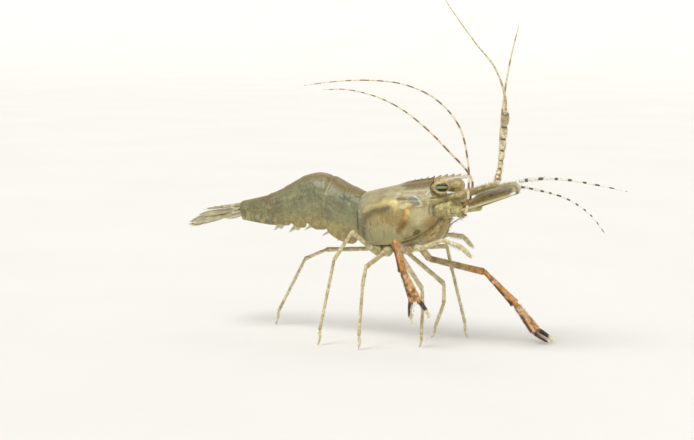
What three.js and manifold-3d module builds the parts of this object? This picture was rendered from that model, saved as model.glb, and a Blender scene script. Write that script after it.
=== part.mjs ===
// A long-armed river prawn, life size, standing on its six walking legs. Millimetres, +Z up,
// the head points along +X and the animal's right side faces -Y. Every plate, limb and feeler is a
// closed solid of its own, and neighbours keep a small clearance. The body is set out in a body
// frame and the whole group is then moved so that the middle of its footprint is the origin.
import * as THREE from 'three';
import Module from 'manifold-3d';
import { mergeVertices } from 'three/addons/utils/BufferGeometryUtils.js';

const wasm = await Module();
wasm.setup();

// ------------------------------------------------------------------ driving dimensions
const GAP = 0.34; // clearance between neighbouring pieces
const GROUND = 1.2; // height of the ground in the body frame
const RIGHT = -1;
const LEFT = 1;
const FEELER_RADIUS = 0.26;

// Head shield: its own frame starts at the rear of the back line and is pitched nose up.
const SHIELD_LENGTH = 12.2;
const SHIELD_PITCH = THREE.MathUtils.degToRad(12);
const SHIELD_REAR = { x: 4.0, z: 25.65 };
const SHIELD_DEPTH = 9.1;
const SHIELD_HALF_WIDTH = 3.7;
const SHIELD_UNDER_ANGLE = THREE.MathUtils.degToRad(135);
const ROSTRUM_REACH = 19.0;
const ROSTRUM_THICKNESS = 0.56;
const ROSTRUM_TEETH = 9;

// Abdomen: where each pair of segments meets on the back line, how far that joint plane leans
// forward at its foot, and the depth and half width of the body there.
const JOINTS = [
  { x: 3.55, z: 25.55, lean: 3, depth: 8.8, halfWidth: 3.15 },
  { x: 1.4, z: 26.3, lean: 3, depth: 9.3, halfWidth: 3.3 },
  { x: -2.2, z: 27.8, lean: 5, depth: 9.9, halfWidth: 3.5 },
  { x: -4.9, z: 28.4, lean: 11, depth: 10.1, halfWidth: 3.5 },
  { x: -8.2, z: 27.55, lean: 19, depth: 9.5, halfWidth: 3.2 },
  { x: -11.3, z: 25.85, lean: 23, depth: 7.6, halfWidth: 2.8 },
  { x: -14.4, z: 24.4, lean: 19, depth: 5.5, halfWidth: 2.25 },
  { x: -20.0, z: 22.85, lean: 13, depth: 3.0, halfWidth: 1.55 },
];
const SEGMENT_ENDS = [0, 1, 2, 4, 5, 6, 7]; // joints that bound segments 1 to 6
const SEGMENT_SWEEP = [0, -0.86, 0.4, 0.3, 0.24, 0.14, 0]; // joint's shift at the flank, in joints
const FIRST_FLANK = 0.5; // how far round the first segment's plate reaches before the second covers it
const PLEURA_ANGLE = THREE.MathUtils.degToRad(124);
const PLEURA_THICKNESS = 0.62;
const STERNITE_FROM = 0.8; // the flaps hang free of the belly from here to the lower edge
const STERNITE_DEPTH = 0.645; // the belly's level, in depths below the back

// Head appendages, for one side; the other side is its mirror image.
const EYE = { x: 18.58, y: 2.85, z: 27.27, radius: 1.22 };
const STALK_ROOT = { x: 16.55, y: 1.3, z: 26.9 };
const SCALE_ROOT = { x: 21.75, y: 3.9, z: 23.52 };
const SCALE_YAW = { right: 0, left: THREE.MathUtils.degToRad(-18) }; // the left one is drawn in
const SCALE_LENGTHS = { right: 10.5, left: 10 };
const SCALE_WIDTH = 3.2;
const SCALE_PITCH = THREE.MathUtils.degToRad(18.4);
const SCALE_ROLL = THREE.MathUtils.degToRad(34);
const PLATE_THICKNESS = 0.52;

// Tail fan.
const TELSON_LENGTH = 6.9;
const TAIL_SLOPE = THREE.MathUtils.degToRad(10.5);

const COLOURS = {
  shell: 0xb3ab9a,
  abdomen: 0xa3a8a4,
  under: 0xa8a28e,
  limb: 0xc3b89c,
  arm: 0xc98a55,
  finger: 0x4a362b,
  eye: 0x59665c,
  plate: 0xa79f84,
  feeler: 0xd9d2c4,
};

const group = new THREE.Group();
const { sin, cos, abs, min, max, PI } = Math;
const point = (x, y, z) => new THREE.Vector3(x, y, z);
const radians = THREE.MathUtils.degToRad;
const blend = THREE.MathUtils.lerp;
const smooth = THREE.MathUtils.smoothstep;
/** 1 at the middle of a hump, falling to 0 a few widths away. */
const hump = (t, middle, width) => Math.exp(-(((t - middle) / width) ** 2));

// ------------------------------------------------------------------ making solids
/** The volume inside an indexed closed mesh, negative where its faces point inwards. */
function signedVolume(positions, indices) {
  const [a, b, c] = [point(), point(), point()];
  let six = 0;
  for (let i = 0; i < indices.length; i += 3) {
    a.fromArray(positions, indices[i] * 3);
    b.fromArray(positions, indices[i + 1] * 3);
    c.fromArray(positions, indices[i + 2] * 3);
    six += a.dot(b.clone().cross(c));
  }
  return six / 6;
}

/** A closed geometry from points and triangles, turned so that its faces point outwards. */
function closedGeometry(points, triangles) {
  const positions = points.flatMap((p) => [p.x, p.y, p.z]);
  const indices = triangles.flat();
  if (signedVolume(positions, indices) < 0) indices.reverse();
  const geometry = new THREE.BufferGeometry();
  geometry.setAttribute('position', new THREE.Float32BufferAttribute(positions, 3));
  geometry.setIndex(indices);
  return geometry;
}

/**
 * A solid through rings of the same number of points. With 'fan' each end is closed round the
 * middle of its ring. With 'arch' a ring is an outer arch followed by the inner arch run
 * backwards, and the ends are closed by strips between the two arches.
 */
function loft(rings, ends = 'fan') {
  const count = rings[0].length;
  const points = rings.flat();
  const triangles = [];
  for (let r = 0; r < rings.length - 1; r++) {
    for (let k = 0; k < count; k++) {
      const here = r * count + k;
      const next = r * count + ((k + 1) % count);
      triangles.push([here, next, next + count], [here, next + count, here + count]);
    }
  }
  for (const [first, turned] of [[0, true], [(rings.length - 1) * count, false]]) {
    const add = (a, b, c) => triangles.push(turned ? [c, b, a] : [a, b, c]);
    if (ends === 'arch') {
      for (let k = 0; k < count / 2 - 1; k++) {
        const [outer, inner] = [first + k, first + count - 1 - k];
        add(outer, outer + 1, inner - 1);
        add(outer, inner - 1, inner);
      }
    } else {
      const middle = point(0, 0, 0);
      for (let k = 0; k < count; k++) middle.add(points[first + k]);
      points.push(middle.divideScalar(count));
      for (let k = 0; k < count; k++) add(first + k, first + ((k + 1) % count), points.length - 1);
    }
  }
  return closedGeometry(points, triangles);
}

/** A ring of points round a centre, across a direction; `flat` squeezes it along `up`. */
function ringRound(centre, direction, up, radius, sides, flat = 1) {
  const across = direction.clone().cross(up).normalize();
  const rise = across.clone().cross(direction).normalize();
  return Array.from({ length: sides }, (_, k) => {
    const angle = (2 * PI * (k + 0.5)) / sides;
    return centre
      .clone()
      .addScaledVector(across, radius * cos(angle))
      .addScaledVector(rise, radius * flat * sin(angle));
  });
}

/** `up` carried along a path that turns from one direction to the next. */
function carry(up, from, to) {
  return up.clone().applyQuaternion(new THREE.Quaternion().setFromUnitVectors(from, to));
}

/** A tapering tube along a smooth curve through points; radius and flat are functions of 0..1. */
function tube(points, radius, steps, sides = 6, flat = () => 1) {
  const curve = new THREE.CatmullRomCurve3(points);
  let direction = curve.getTangentAt(0);
  let up = abs(direction.z) > 0.9 ? point(1, 0, 0) : point(0, 0, 1);
  const rings = [];
  for (let s = 0; s <= steps; s++) {
    const t = s / steps;
    const next = curve.getTangentAt(t);
    up = carry(up, direction, next);
    direction = next;
    rings.push(ringRound(curve.getPointAt(t), direction, up, radius(t), sides, flat(t)));
  }
  return loft(rings);
}

/**
 * A jointed limb: straight lengths between joints, each with its radius at both ends and a neck at
 * every joint. With `foot` the last ring lies flat on the ground.
 */
function limb(joints, radii, { sides = 6, flat = 1, foot = false } = {}) {
  let direction = joints[1].clone().sub(joints[0]).normalize();
  let up = abs(direction.z) > 0.9 ? point(1, 0, 0) : point(0, 0, 1);
  const rings = [];
  for (let i = 0; i < joints.length - 1; i++) {
    const along = joints[i + 1].clone().sub(joints[i]);
    const length = along.length();
    const next = along.divideScalar(length);
    up = carry(up, direction, next);
    direction = next;
    const [start, end] = radii[i];
    const last = i === joints.length - 2;
    const inset = min(0.3 * length, 0.75 * max(start, end));
    const from = i === 0 ? 0 : inset;
    const to = last ? length : length - inset;
    const at = (d) => joints[i].clone().addScaledVector(direction, d);
    rings.push(ringRound(at(from), direction, up, start, sides, flat));
    rings.push(ringRound(at(to), direction, up, end, sides, flat));
  }
  if (foot) for (const p of rings.at(-1)) p.z = GROUND;
  return loft(rings);
}

/** A flat plate: an outline in its own plane, extruded equally to both sides of that plane. */
function plate(outline, thickness, steps = 6) {
  const shape = new THREE.ExtrudeGeometry(outline, {
    depth: thickness,
    bevelEnabled: false,
    curveSegments: steps,
  });
  return shape.translate(0, 0, -thickness / 2);
}

/** A manifold-3d solid of a closed geometry. */
function solid(geometry) {
  const bare = geometry.clone();
  bare.deleteAttribute('normal');
  bare.deleteAttribute('uv');
  const merged = mergeVertices(bare, 1e-4);
  return new wasm.Manifold(
    new wasm.Mesh({
      numProp: 3,
      vertProperties: new Float32Array(merged.attributes.position.array),
      triVerts: new Uint32Array(merged.index.array),
    }),
  );
}

/** The geometry of a manifold-3d solid. */
function geometryOf(body) {
  const mesh = body.getMesh();
  const geometry = new THREE.BufferGeometry();
  geometry.setAttribute('position', new THREE.BufferAttribute(mesh.vertProperties, 3));
  geometry.setIndex(new THREE.BufferAttribute(mesh.triVerts, 1));
  return geometry;
}

/** Several overlapping geometries joined into one. */
function joined(...geometries) {
  return geometryOf(geometries.map(solid).reduce((all, next) => all.add(next)));
}

/** Places a geometry made in its own x, y, z at an origin, along three axes. */
function placed(geometry, origin, xAxis, yAxis) {
  const zAxis = xAxis.clone().cross(yAxis).normalize();
  const square = zAxis.clone().cross(xAxis).normalize();
  const frame = new THREE.Matrix4().makeBasis(xAxis, square, zAxis).setPosition(origin);
  return geometry.applyMatrix4(frame);
}

function add(name, geometry, colour, roughness = 0.35) {
  const bare = geometry.index ? geometry : mergeVertices(geometry);
  const material = new THREE.MeshStandardMaterial({ color: colour, roughness, metalness: 0 });
  const mesh = new THREE.Mesh(bare, material);
  mesh.name = name;
  group.add(mesh);
}

const SIDES = [
  ['right', RIGHT],
  ['left', LEFT],
];

// The antennule's three-piece stem, y measured outwards; the left one points further forward.
const ANTENNULE_STEM = {
  right: [[17.75, 1.45, 25.35], [22.6, 1.9, 26.45], [25.6, 2.4, 27.4], [28.0, 2.85, 28.05]],
  left: [[17.75, 1.45, 25.35], [22.8, 1.8, 26.45], [26.2, 2.25, 27.2], [29.2, 2.7, 27.75]],
};

// ------------------------------------------------------------------ the shell's cross-section
/**
 * A point of the outer half-section: v is 0 on the back and 1 at the lower edge. The flank is
 * widest at half depth, and `crown` above 1 draws the back to a ridge.
 */
function flank(v, halfWidth, depth, endAngle, crown = 1) {
  const angle = v * endAngle;
  const middle = depth / 2;
  const lower = middle / -cos(endAngle);
  const radius = angle < PI / 2 ? middle : lower;
  return { y: halfWidth * sin(angle) ** crown, z: -middle + radius * cos(angle) };
}

/** A ring from an outer and an inner half-section on the left, each mirrored on the right. */
function archRing(outerHalf, innerHalf) {
  const mirrored = (half) => {
    const rest = half.slice(1);
    const right = rest.map((p) => point(p.x, -p.y, p.z)).reverse();
    return [...right, half[0], ...rest];
  };
  return [...mirrored(outerHalf), ...mirrored(innerHalf).reverse()];
}

// ------------------------------------------------------------------ head shield and rostrum
/** A point of the shield's own frame in the body frame. */
function shieldPlace(x, y, z) {
  const [s, c] = [sin(SHIELD_PITCH), cos(SHIELD_PITCH)];
  return point(SHIELD_REAR.x + x * c - z * s, y, SHIELD_REAR.z + x * s + z * c);
}

/** The lower edge rises a little at the rear and more towards the cheek. */
function shieldDepth(x) {
  return x < 4 ? SHIELD_DEPTH - 0.7 * ((4 - x) / 5.2) ** 2 : SHIELD_DEPTH - 2.1 * ((x - 4) / 8.3) ** 1.8;
}

function shieldHalfWidth(x) {
  const t = x < 4.5 ? 0.35 * ((4.5 - x) / 4.5) ** 2 : 1.2 * ((x - 4.5) / 7.5) ** 1.7;
  return SHIELD_HALF_WIDTH - t;
}

/** The front edge: the orbit is cut back, the antennal spine and the cheek stand forward. */
function shieldFront(v) {
  return SHIELD_LENGTH - 0.8 * hump(v, 0.36, 0.14) + 0.45 * hump(v, 0.6, 0.06) - 1.3 * smooth(v, 0.84, 1);
}

/** The rear edge bows backwards over the flank. */
function shieldRear(v) {
  return -1.1 * sin(v * 0.62 * PI);
}

function shieldBody() {
  const steps = 13;
  const around = 7;
  const rings = [];
  for (let s = 0; s <= steps; s++) {
    const outer = [];
    const inner = [];
    for (let k = 0; k <= around; k++) {
      const v = k / around;
      const x = blend(shieldRear(v), shieldFront(v), s / steps);
      const crown = 1 + 0.5 * smooth(x, 4, 12);
      const arch = 0.2 * sin((PI * max(0, x)) / SHIELD_LENGTH);
      const depth = shieldDepth(x);
      const wall = flank(v, shieldHalfWidth(x), depth, SHIELD_UNDER_ANGLE, crown);
      const edge = flank(1, shieldHalfWidth(x), depth, SHIELD_UNDER_ANGLE, crown);
      outer.push(shieldPlace(x, wall.y, wall.z + arch * (1 - v)));
      inner.push(shieldPlace(x, (edge.y - 0.2) * v, -depth - 0.06));
    }
    rings.push(archRing(outer, inner));
  }
  return loft(rings, 'arch');
}

/** The beak: a thin blade, toothed above and with two teeth below. */
function rostrum() {
  const start = 7.6;
  const top = (x) => 0.16 - 0.8 * (max(0, x - 13.5) / 5.5) ** 1.5;
  const pitch = (ROSTRUM_REACH - 0.9 - start) / ROSTRUM_TEETH;
  const outline = new THREE.Shape();
  outline.moveTo(start, -1.2);
  outline.lineTo(start, top(start) - 0.1);
  for (let tooth = 0; tooth < ROSTRUM_TEETH; tooth++) {
    const x = start + pitch * (tooth + 0.15);
    const height = 0.42 * (1 - 0.35 * (tooth / ROSTRUM_TEETH));
    outline.lineTo(x, top(x));
    outline.lineTo(x + 0.72 * pitch, top(x) + height);
    outline.lineTo(x + 0.8 * pitch, top(x + 0.8 * pitch));
  }
  outline.lineTo(ROSTRUM_REACH, top(ROSTRUM_REACH));
  for (const x of [17.3, 16.1]) {
    outline.lineTo(x + 0.45, top(x) - 0.7);
    outline.lineTo(x + 0.4, top(x) - 1.05);
    outline.lineTo(x, top(x) - 0.85);
  }
  outline.lineTo(13.6, -1.42);
  outline.lineTo(11.4, -1.5);
  const blade = plate(outline, ROSTRUM_THICKNESS);
  return placed(blade, shieldPlace(0, 0, 0), point(cos(SHIELD_PITCH), 0, sin(SHIELD_PITCH)), point(0, 0, 1));
}

/** A small forward spine on the shield's cheek. */
function cheekSpine(side, x, v, length) {
  const at = flank(v, shieldHalfWidth(x), shieldDepth(x), SHIELD_UNDER_ANGLE, 1.4);
  const spine = new THREE.ConeGeometry(0.24, length, 5);
  spine.rotateZ(-PI / 2);
  spine.rotateZ(side * radians(-9));
  const centre = shieldPlace(x + length / 2 - 0.35, side * (at.y - 0.12), at.z);
  return spine.translate(centre.x, centre.y, centre.z);
}

const spines = SIDES.flatMap(([, side]) => [
  cheekSpine(side, 12.2, 0.6, 1.2),
  cheekSpine(side, 10.2, 0.66, 0.95),
]);
add('head_shield', joined(shieldBody(), rostrum(), ...spines), COLOURS.shell);

// ------------------------------------------------------------------ abdomen
const backLine = new THREE.CatmullRomCurve3(JOINTS.map((j) => point(j.x, 0, j.z)));
const lowLine = new THREE.CatmullRomCurve3(JOINTS.map((j) => point(j.lean, j.depth, j.halfWidth)));

/** The abdomen's frame at u, counted in joints: its back point and the section's size and lean. */
function abdomenAt(u) {
  const t = min(1, max(0, u / (JOINTS.length - 1)));
  const size = lowLine.getPoint(t);
  return { back: backLine.getPoint(t), lean: radians(size.x), depth: size.y, halfWidth: size.z };
}

/** A point of the abdomen: u along it in joints, y to the left, z above its back. */
function abdomenPlace(u, y, z) {
  const { back, lean } = abdomenAt(u);
  return point(back.x - z * sin(lean), y, back.z + z * cos(lean));
}

/** Where boundary b crosses the flank; the second segment's flap reaches far forward, low down. */
function boundary(b, v) {
  const low = b === 1 ? smooth(v, 0.44, 0.72) : smooth(v, 0.3, 1);
  return SEGMENT_ENDS[b] + SEGMENT_SWEEP[b] * low;
}

/** Half the clearance at boundary b, in joints. */
function clearance(b) {
  const inwards = b === SEGMENT_ENDS.length - 1 ? -0.2 : 0.2;
  const here = abdomenAt(SEGMENT_ENDS[b]).back;
  const near = abdomenAt(SEGMENT_ENDS[b] + inwards).back;
  return (0.5 * GAP * 0.2) / here.distanceTo(near);
}

/** One segment: a plate arched over the flesh, with its pleura as free flaps at the two sides. */
function segment(index) {
  const steps = index === 5 ? 6 : 5;
  const around = index === 1 ? 9 : 6;
  const flaps = index > 0 && index < 5;
  const rings = [];
  for (let s = 0; s <= steps; s++) {
    const q = s / steps;
    const outer = [];
    const inner = [];
    for (let k = 0; k <= around; k++) {
      const v = k / around;
      const along = (edge) =>
        blend(
          boundary(index, edge) + clearance(index),
          boundary(index + 1, edge + (index === 0 ? 0.06 : 0)) - clearance(index + 1) * (1 + 0.9 * edge),
          q,
        );
      const u = along(index === 0 ? min(v, FIRST_FLANK) : v);
      const { depth, halfWidth } = abdomenAt(u);
      const scale = 0.95 + 0.05 * smooth(q, 0, 0.6);
      const hang = index === 1 ? 0.98 : 0.9;
      const lobe = flaps ? hang + (1 - hang) * sin(PI * blend(0.1, 0.85, q)) ** 0.6 : 1;
      const width = halfWidth * scale;
      const tall = depth * scale * blend(1, lobe, smooth(v, 0.5, 1));
      const belly = -STERNITE_DEPTH * depth * scale - 0.05;
      if (index === 0 && v > FIRST_FLANK) {
        // Below its plate the first segment is a narrow waist between the second one's flaps.
        const t = (v - FIRST_FLANK) / (1 - FIRST_FLANK);
        const shoulder = flank(FIRST_FLANK, width, tall, PLEURA_ANGLE);
        const y = blend(shoulder.y, 1.7, smooth(t, 0, 0.5));
        outer.push(abdomenPlace(u, y, blend(shoulder.z, belly + 0.06, t)));
        inner.push(abdomenPlace(u, 1.6 * v, belly));
      } else if (!flaps) {
        const wall = flank(v, width, tall, PLEURA_ANGLE);
        const reach = index === 0 ? 1.6 : flank(1, width, tall, PLEURA_ANGLE).y - 0.2;
        const low = index === 0 ? belly : -tall - 0.06;
        outer.push(abdomenPlace(u, wall.y, wall.z));
        inner.push(abdomenPlace(u, reach * v, low));
      } else {
        const wall = flank(v, width, tall, PLEURA_ANGLE);
        const corner = flank(STERNITE_FROM, width, depth * scale, PLEURA_ANGLE);
        outer.push(abdomenPlace(u, wall.y, wall.z));
        if (v < STERNITE_FROM - 0.001) {
          const middle = index === 1 ? along(0) : u;
          inner.push(abdomenPlace(middle, ((corner.y - PLEURA_THICKNESS) * v) / STERNITE_FROM, belly));
        } else inner.push(abdomenPlace(u, wall.y - PLEURA_THICKNESS, wall.z - 0.05));
      }
    }
    rings.push(archRing(outer, inner));
  }
  return loft(rings, 'arch');
}

for (let index = 0; index < 6; index++) {
  add(`abdomen_${index + 1}`, segment(index), COLOURS.abdomen);
}

// ------------------------------------------------------------------ tail fan
const TAIL_AXIS = point(-cos(TAIL_SLOPE), 0, -sin(TAIL_SLOPE));
const tailEnd = abdomenAt(7).back;

/** The telson: a narrowing plate, arched above, with a blunt point. */
function telson() {
  const rings = [];
  const stations = [
    [0, 1.0, 0.8],
    [0.12, 1.08, 0.85],
    [0.5, 0.85, 0.75],
    [0.85, 0.58, 0.62],
    [0.97, 0.4, 0.55],
    [1.0, 0.12, 0.5],
  ];
  for (const [t, halfWidth, height] of stations) {
    const centre = tailEnd.clone().addScaledVector(TAIL_AXIS, GAP + t * TELSON_LENGTH);
    centre.z -= 0.08 + height / 2;
    const ring = [];
    for (let k = 0; k < 10; k++) {
      const angle = (2 * PI * (k + 0.5)) / 10;
      const lift = sin(angle) > 0 ? 1 : 0.55;
      ring.push(point(centre.x, halfWidth * cos(angle), centre.z + 0.5 * height * lift * sin(angle)));
    }
    rings.push(ring);
  }
  return loft(rings);
}
add('telson', telson(), COLOURS.abdomen);

/** A leaf outline along +x from a narrow root to a round end. */
function leafOutline(length, halfWidth, rootHalfWidth = 0.35) {
  const outline = new THREE.Shape();
  outline.moveTo(0, -rootHalfWidth);
  outline.bezierCurveTo(0.2 * length, -halfWidth, 0.75 * length, -1.25 * halfWidth, length, -0.25 * halfWidth);
  outline.quadraticCurveTo(1.03 * length, 0, length, 0.25 * halfWidth);
  outline.bezierCurveTo(0.75 * length, 1.25 * halfWidth, 0.2 * length, halfWidth, 0, rootHalfWidth);
  return outline;
}

for (const [sideName, side] of SIDES) {
  const blades = [
    ['inner', 7.0, 1.0, 9, 1.05, 1.3, 4, 0],
    ['outer', 7.6, 1.2, 23, 1.75, 2.02, 6, 1.5],
  ];
  for (const [place, length, halfWidth, splay, offset, drop, roll, dip] of blades) {
    const out = radians(splay) * side;
    const slope = TAIL_SLOPE + radians(dip);
    const along = point(-cos(out) * cos(slope), sin(out), -sin(slope)).normalize();
    const across = point(0, cos(radians(roll)), -side * sin(radians(roll)));
    const root = tailEnd.clone().addScaledVector(TAIL_AXIS, GAP + 0.15);
    root.y = side * offset;
    root.z -= drop;
    const blade = plate(leafOutline(length, halfWidth, 0.45), PLATE_THICKNESS, 5);
    add(`tail_fan_${place}_${sideName}`, placed(blade, root, along, across), COLOURS.plate);
  }
}

// ------------------------------------------------------------------ pleopods
/** A swimming leg: a short stalk and two paddles side by side. */
function pleopodOutline(stalk, paddle, halfWidth) {
  const outline = new THREE.Shape();
  outline.moveTo(0, -0.4);
  outline.lineTo(stalk, -0.5);
  for (const middle of [-0.55 * halfWidth, 0.55 * halfWidth]) {
    const edge = 0.42 * halfWidth;
    const reach = middle < 0 ? paddle : 0.86 * paddle;
    outline.lineTo(stalk + 0.35 * reach, middle - edge);
    outline.lineTo(stalk + 0.8 * reach, middle - 0.8 * edge);
    outline.lineTo(stalk + reach, middle);
    outline.lineTo(stalk + 0.8 * reach, middle + 0.8 * edge);
    outline.lineTo(stalk + 0.35 * reach, middle + edge);
    outline.lineTo(stalk + 0.08, middle < 0 ? 0.04 : 0.5);
  }
  outline.lineTo(0, 0.4);
  return outline;
}

for (const [sideName, side] of SIDES) {
  for (let pair = 0; pair < 5; pair++) {
    const size = [1, 1, 1, 0.88, 0.74][pair];
    const u = (SEGMENT_ENDS[pair] + SEGMENT_ENDS[pair + 1]) / 2;
    const frame = abdomenAt(u);
    const drop = STERNITE_DEPTH * frame.depth + GAP + 0.22;
    const hang = radians(58) - frame.lean;
    const root = point(
      frame.back.x + drop * sin(frame.lean),
      side * (0.25 * frame.halfWidth + 0.03),
      frame.back.z - drop * cos(frame.lean),
    );
    const along = point(-sin(hang), side * 0.05, -cos(hang)).normalize();
    const outline = pleopodOutline(1.5 * size, 2.7 * size, 0.2 * frame.halfWidth);
    const paddles = placed(plate(outline, PLATE_THICKNESS), root, along, point(0, -side, 0));
    add(`pleopod_${pair + 1}_${sideName}`, paddles, COLOURS.plate);
  }
}

// ------------------------------------------------------------------ under the thorax
const floorAt = (x) => shieldPlace(x, 0, -shieldDepth(x) - 0.06);

/** The breast plate that carries the limbs: a narrow keel under the shield. */
function breast() {
  const rings = [];
  for (let s = 0; s <= 7; s++) {
    const top = floorAt(blend(-0.7, 9.2, s / 7));
    const bottom = 15.75 + 0.75 * smooth(top.x, 9, 12.4) + 1.5 * smooth(top.x, 12, 15.5);
    const halfWidth = blend(1.0, 1.6, sin((PI * (s + 1.5)) / 10));
    const high = top.z - GAP;
    rings.push([
      point(top.x, -halfWidth, high),
      point(top.x, -halfWidth, blend(bottom, high, 0.4)),
      point(top.x, -0.6 * halfWidth, bottom),
      point(top.x, 0.6 * halfWidth, bottom),
      point(top.x, halfWidth, blend(bottom, high, 0.4)),
      point(top.x, halfWidth, high),
    ]);
  }
  return loft(rings);
}
add('breast', breast(), COLOURS.under);

/** The mouthparts between the jaws' feet, a rounded wedge below the face. */
add(
  'mouth_parts',
  tube(
    [point(15.5, 0, 18.35), point(16.6, 0, 19.05), point(17.55, 0, 20.3), point(18.35, 0, 21.9)],
    (t) => blend(0.7, 0.9, sin(PI * min(1, t * 1.15)) ** 0.7),
    6,
    10,
    () => 0.82,
  ),
  COLOURS.under,
);

// ------------------------------------------------------------------ head appendages
const ANTENNA_NECK = {
  right: [[20.1, 2.7, 23.6], [21.2, 2.75, 23.1], [22.6, 2.85, 23.0]],
  left: [[20.1, 2.7, 23.6], [20.7, 2.7, 23.5], [21.25, 2.7, 23.45]],
};
for (const [sideName, side] of SIDES) {
  const at = (x, y, z) => point(x, side * y, z);
  const stalkRoot = at(STALK_ROOT.x, STALK_ROOT.y, STALK_ROOT.z);
  const eyeCentre = at(EYE.x, EYE.y, EYE.z);
  const stalkAxis = eyeCentre.clone().sub(stalkRoot).normalize();

  // The eyeball is a little more than half a sphere on a flat back, across the stalk's axis.
  const back = -0.62 * EYE.radius;
  const profile = [new THREE.Vector2(0, back)];
  for (let k = 0; k <= 8; k++) {
    const angle = blend(Math.asin(back / EYE.radius), PI / 2, k / 8);
    profile.push(new THREE.Vector2(k === 8 ? 0 : EYE.radius * cos(angle), EYE.radius * sin(angle)));
  }
  const ball = new THREE.LatheGeometry(profile, 14);
  ball.applyQuaternion(new THREE.Quaternion().setFromUnitVectors(point(0, 1, 0), stalkAxis));
  add(`eye_${sideName}`, ball.translate(eyeCentre.x, eyeCentre.y, eyeCentre.z), COLOURS.eye, 0.08);

  const stalkEnd = eyeCentre.clone().addScaledVector(stalkAxis, back - GAP);
  const stalkMiddle = stalkRoot.clone().lerp(stalkEnd, 0.5);
  const stalk = tube([stalkRoot, stalkMiddle, stalkEnd], (t) => blend(0.62, 0.93, t ** 0.8), 4, 10);
  add(`eyestalk_${sideName}`, stalk, COLOURS.shell);

  // Antennule: a three-piece peduncle that carries two long feelers.
  const peduncle = limb(
    ANTENNULE_STEM[sideName].map(([x, y, z]) => at(x, y, z)),
    [[0.98, 0.82], [0.72, 0.68], [0.64, 0.62]],
    { sides: 8, flat: 0.66 },
  );
  add(`antennule_stem_${sideName}`, peduncle, COLOURS.limb);

  // Antenna: a broad root, then the peduncle that carries the longest feeler.
  const root = tube(
    [at(18.0, 2.25, 23.5), at(19.2, 2.55, 23.85), at(20.55, 2.75, 24.0)],
    (t) => blend(1.02, 1.12, sin(PI * t)),
    4,
    10,
    () => 0.95,
  );
  const neck = tube(
    ANTENNA_NECK[sideName].map(([x, y, z]) => at(x, y, z)),
    (t) => blend(0.72, 0.52, t),
    4,
    8,
  );
  add(`antenna_stem_${sideName}`, joined(root, neck), COLOURS.limb);

  // Antennal scale: a blade stiffened along its straight outer edge, which ends in a tooth.
  const length = SCALE_LENGTHS[sideName];
  const blade = new THREE.Shape();
  blade.moveTo(0, 0);
  blade.lineTo(length, 0.12);
  blade.lineTo(0.945 * length, 0.5);
  blade.quadraticCurveTo(1.0 * length, 0.3 * SCALE_WIDTH, 0.93 * length, 0.6 * SCALE_WIDTH);
  blade.bezierCurveTo(
    0.8 * length,
    1.02 * SCALE_WIDTH,
    0.42 * length,
    1.12 * SCALE_WIDTH,
    0.12 * length,
    0.66 * SCALE_WIDTH,
  );
  blade.lineTo(0, 0.3 * SCALE_WIDTH);
  const yaw = SCALE_YAW[sideName];
  const along = point(cos(SCALE_PITCH) * cos(yaw), side * cos(SCALE_PITCH) * sin(yaw), sin(SCALE_PITCH));
  const inward = point(0, -side * cos(SCALE_ROLL), sin(SCALE_ROLL));
  const scaleRoot = at(SCALE_ROOT.x, SCALE_ROOT.y, SCALE_ROOT.z);
  const scale = placed(plate(blade, PLATE_THICKNESS), scaleRoot, along, inward);
  add(`antennal_scale_${sideName}`, scale, COLOURS.plate);
}

/** A whip-like feeler, thick at its root and even beyond it. */
function feeler(name, points, rootRadius, steps) {
  const radius = (t) => max(FEELER_RADIUS, blend(rootRadius, FEELER_RADIUS, min(1, t / 0.3)));
  add(name, tube(points.map(([x, y, z]) => point(x, y, z)), radius, steps, 6), COLOURS.feeler);
}

feeler(
  'antennule_inner_right',
  [[28.35, -2.35, 28.5], [28.2, -1.9, 33.1], [28.0, -0.8, 39.0], [28.5, 0.7, 46.5], [29.6, 2.1, 53.4]],
  0.34,
  12,
);
feeler(
  'antennule_outer_right',
  [
    [28.3, -3.35, 28.55],
    [28.9, -3.3, 31.2],
    [29.5, -3.5, 36.4],
    [30.6, -5.7, 42.0],
    [28.4, -4.7, 46.4],
    [24.0, -2.2, 50.1],
    [19.4, -2.2, 55.9],
    [18.1, -2.6, 58.1],
  ],
  0.52,
  20,
);
feeler(
  'antennule_inner_left',
  [[29.45, 3.15, 27.3], [32.4, 4.1, 26.75], [36.4, 5.7, 25.5], [39.8, 7.3, 23.0], [42.3, 8.5, 19.5]],
  0.34,
  14,
);
feeler(
  'antennule_outer_left',
  [[29.6, 2.4, 28.2], [32.2, 3.7, 28.6], [35.8, 5.9, 28.5], [40.4, 8.6, 27.6], [44.8, 11.1, 26.5]],
  0.46,
  12,
);

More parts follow.
